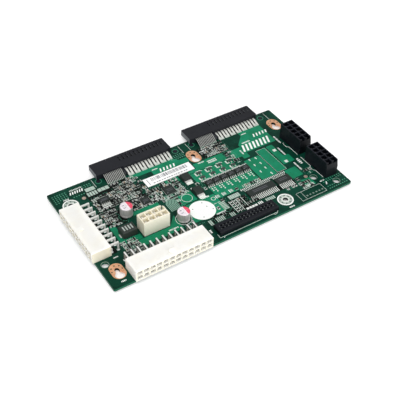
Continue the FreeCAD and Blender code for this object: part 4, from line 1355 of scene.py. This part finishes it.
def loose_pads():
    """Bare pads of places left empty, and the pad rows in front of and behind the bus ICs."""
    patches = [pad_spot(25.8, 81.2, 6.4, 3.2)]
    for row in PATCH_ROWS:
        patches += pad_row(*row)
    patches += [pad_spot(x + 1.5, PATCH_BAR_Y, 1.7, 2.4) for x in PATCH_BARS]
    patches += [pad_spot(89.8, 21.4 + 1.2 * place, 3.9, 0.75) for place in range(6)]
    lay_films("bare_patches", patches, "tin", BARE_PATCH)
    pads = [pad_spot(148.4, y, 2.3, 2.3) for y in (51.2, 38.1)]
    pads += pad_row(106.6, 27, 1.3, 30.2, 0.6, 1.6)
    pads += [pad_spot(28.4, y, 6.0, 0.75) for y in (61.4, 62.7, 63.9)]
    pads += [pad_spot(x, 15.7 + 2.2 * place, 0.9, 0.8) for x in (95.0, 97.4) for place in range(5)]
    low, high = span("power_transistors")
    pads += [pad_spot((low.x + high.x) / 2, y, 4.4, 3.0) for y in (53.4, 38.4)]
    lay_films("loose_pads", pads, "tin", PALE_PAD)
    lay_films("dull_pads", pad_row(139.4, 6, 2.4, 4.4, 1.2, 1.0), "tin", DULL_PAD)


def fan_out():
    """Fine traces that fan out from the large controller toward the front."""
    traces = []
    low = span("large_controller_ic")[0]
    for place, x in enumerate(middles(low.x - 3.4, low.x + 3.0, 8, 0.9)):
        knee = 46.5 - 0.3 * place
        points = [(x, low.y), (x, knee), (x - 1.6, knee - 2.6), (x - 1.6, 36.5)]
        traces += [stroke(start, end, 0.42, PAD_HIGH) for start, end in zip(points, points[1:])]
    lay_films("fan_out_traces", traces, "laminate", FAINT_PRINT)


keyhole_lands()
hole_linings()
hole_lands()
peg_ends()
land_vias()
bright_pours()
painted_shade_fields()
receptacle_pads()
solder_joints()
package_leads()
transistor_leads()
leadless_pads()
socket_contacts()
cans()
can_marks()
part_marks()
label_print()
board_print()
printed_rings()
targets()
loose_pads()
small_parts()
repeated_circuits()
stitching_vias()
fan_out()

# Stage: a pale floor that keeps the shadow, soft light, and the camera at the photograph's angle
FLOOR_SIZE = 6.0
FLOOR_GAP = 0.0002
FLOOR_GREY = 0.86
FLOOR_GLOW = 0.3
ROOM_LIGHT = 0.6
CAMERA_AIM = Vector((-0.0039, -0.00935, 0.0))
CAMERA_AZIMUTH = math.radians(-33.47)
CAMERA_ELEVATION = math.radians(43.32)
CAMERA_ROLL = math.radians(1.29)
CAMERA_DISTANCE = 0.4835
CAMERA_LENS = 69.2


def floor_paint():
    """Matt paint that also glows a little, but only where the camera, metal or glass looks at it."""
    made = Paint("white_floor")
    made.tree.nodes.clear()
    rays = made.add("LightPath").outputs
    seen = rays["Is Camera Ray"]
    for kind in ("Is Glossy Ray", "Is Transmission Ray"):
        seen = made.reckon("MAXIMUM", seen, rays[kind])
    glow = made.add("Emission", {"Strength": made.reckon("MULTIPLY", seen, FLOOR_GLOW)})
    matt = made.add("BsdfDiffuse", {"Color": (FLOOR_GREY, FLOOR_GREY, FLOOR_GREY, 1)})
    both = made.add("AddShader", {0: matt.outputs[0], 1: glow.outputs[0]})
    made.add("OutputMaterial", {"Surface": both.outputs[0]})
    return made.material


def floor():
    """A wide plane just below the board's lowest point."""
    bpy.ops.object.select_all(action="DESELECT")
    bpy.ops.mesh.primitive_plane_add(size=FLOOR_SIZE, location=(0, 0, cad_low.z - FLOOR_GAP))
    ground = bpy.context.object
    ground.name = "floor"
    ground.data.materials.append(floor_paint())


def soft_light(name, place, size, power):
    """A large square lamp aimed at the object's middle."""
    lamp = bpy.data.lights.new(name, "AREA")
    lamp.size = size
    lamp.energy = power
    stand = bpy.data.objects.new(name, lamp)
    stand.location = place
    stand.rotation_euler = (-Vector(place)).to_track_quat("-Z", "Y").to_euler()
    bpy.context.scene.collection.objects.link(stand)


def white_room():
    """Even white surroundings."""
    world = bpy.data.worlds.new("white_room")
    world.use_nodes = True
    sky = world.node_tree.nodes["Background"]
    sky.inputs["Color"].default_value = (1, 1, 1, 1)
    sky.inputs["Strength"].default_value = ROOM_LIGHT
    bpy.context.scene.world = world


def camera():
    """The photograph's viewpoint: in front, to the left and above."""
    back = Vector((math.sin(CAMERA_AZIMUTH) * math.cos(CAMERA_ELEVATION),
                   -math.cos(CAMERA_AZIMUTH) * math.cos(CAMERA_ELEVATION),
                   math.sin(CAMERA_ELEVATION)))
    lens = bpy.data.cameras.new("camera")
    lens.lens = CAMERA_LENS
    lens.clip_start = 0.01
    stand = bpy.data.objects.new("camera", lens)
    aim = (-back).to_track_quat("-Z", "Y").to_matrix().to_4x4()
    stand.matrix_world = (Matrix.Translation(CAMERA_AIM + back * CAMERA_DISTANCE)
                          @ aim @ Matrix.Rotation(CAMERA_ROLL, 4, "Z"))
    bpy.context.scene.collection.objects.link(stand)
    bpy.context.scene.camera = stand


floor()
white_room()
soft_light("key_light", (-0.3, -0.2, 0.8), 0.5, 3.0)
soft_light("front_light", (0.1, -0.8, 0.28), 0.6, 3.6)
soft_light("right_light", (0.55, -0.45, 0.4), 0.5, 0.9)
camera()
bpy.context.scene.view_settings.view_transform = "Standard"
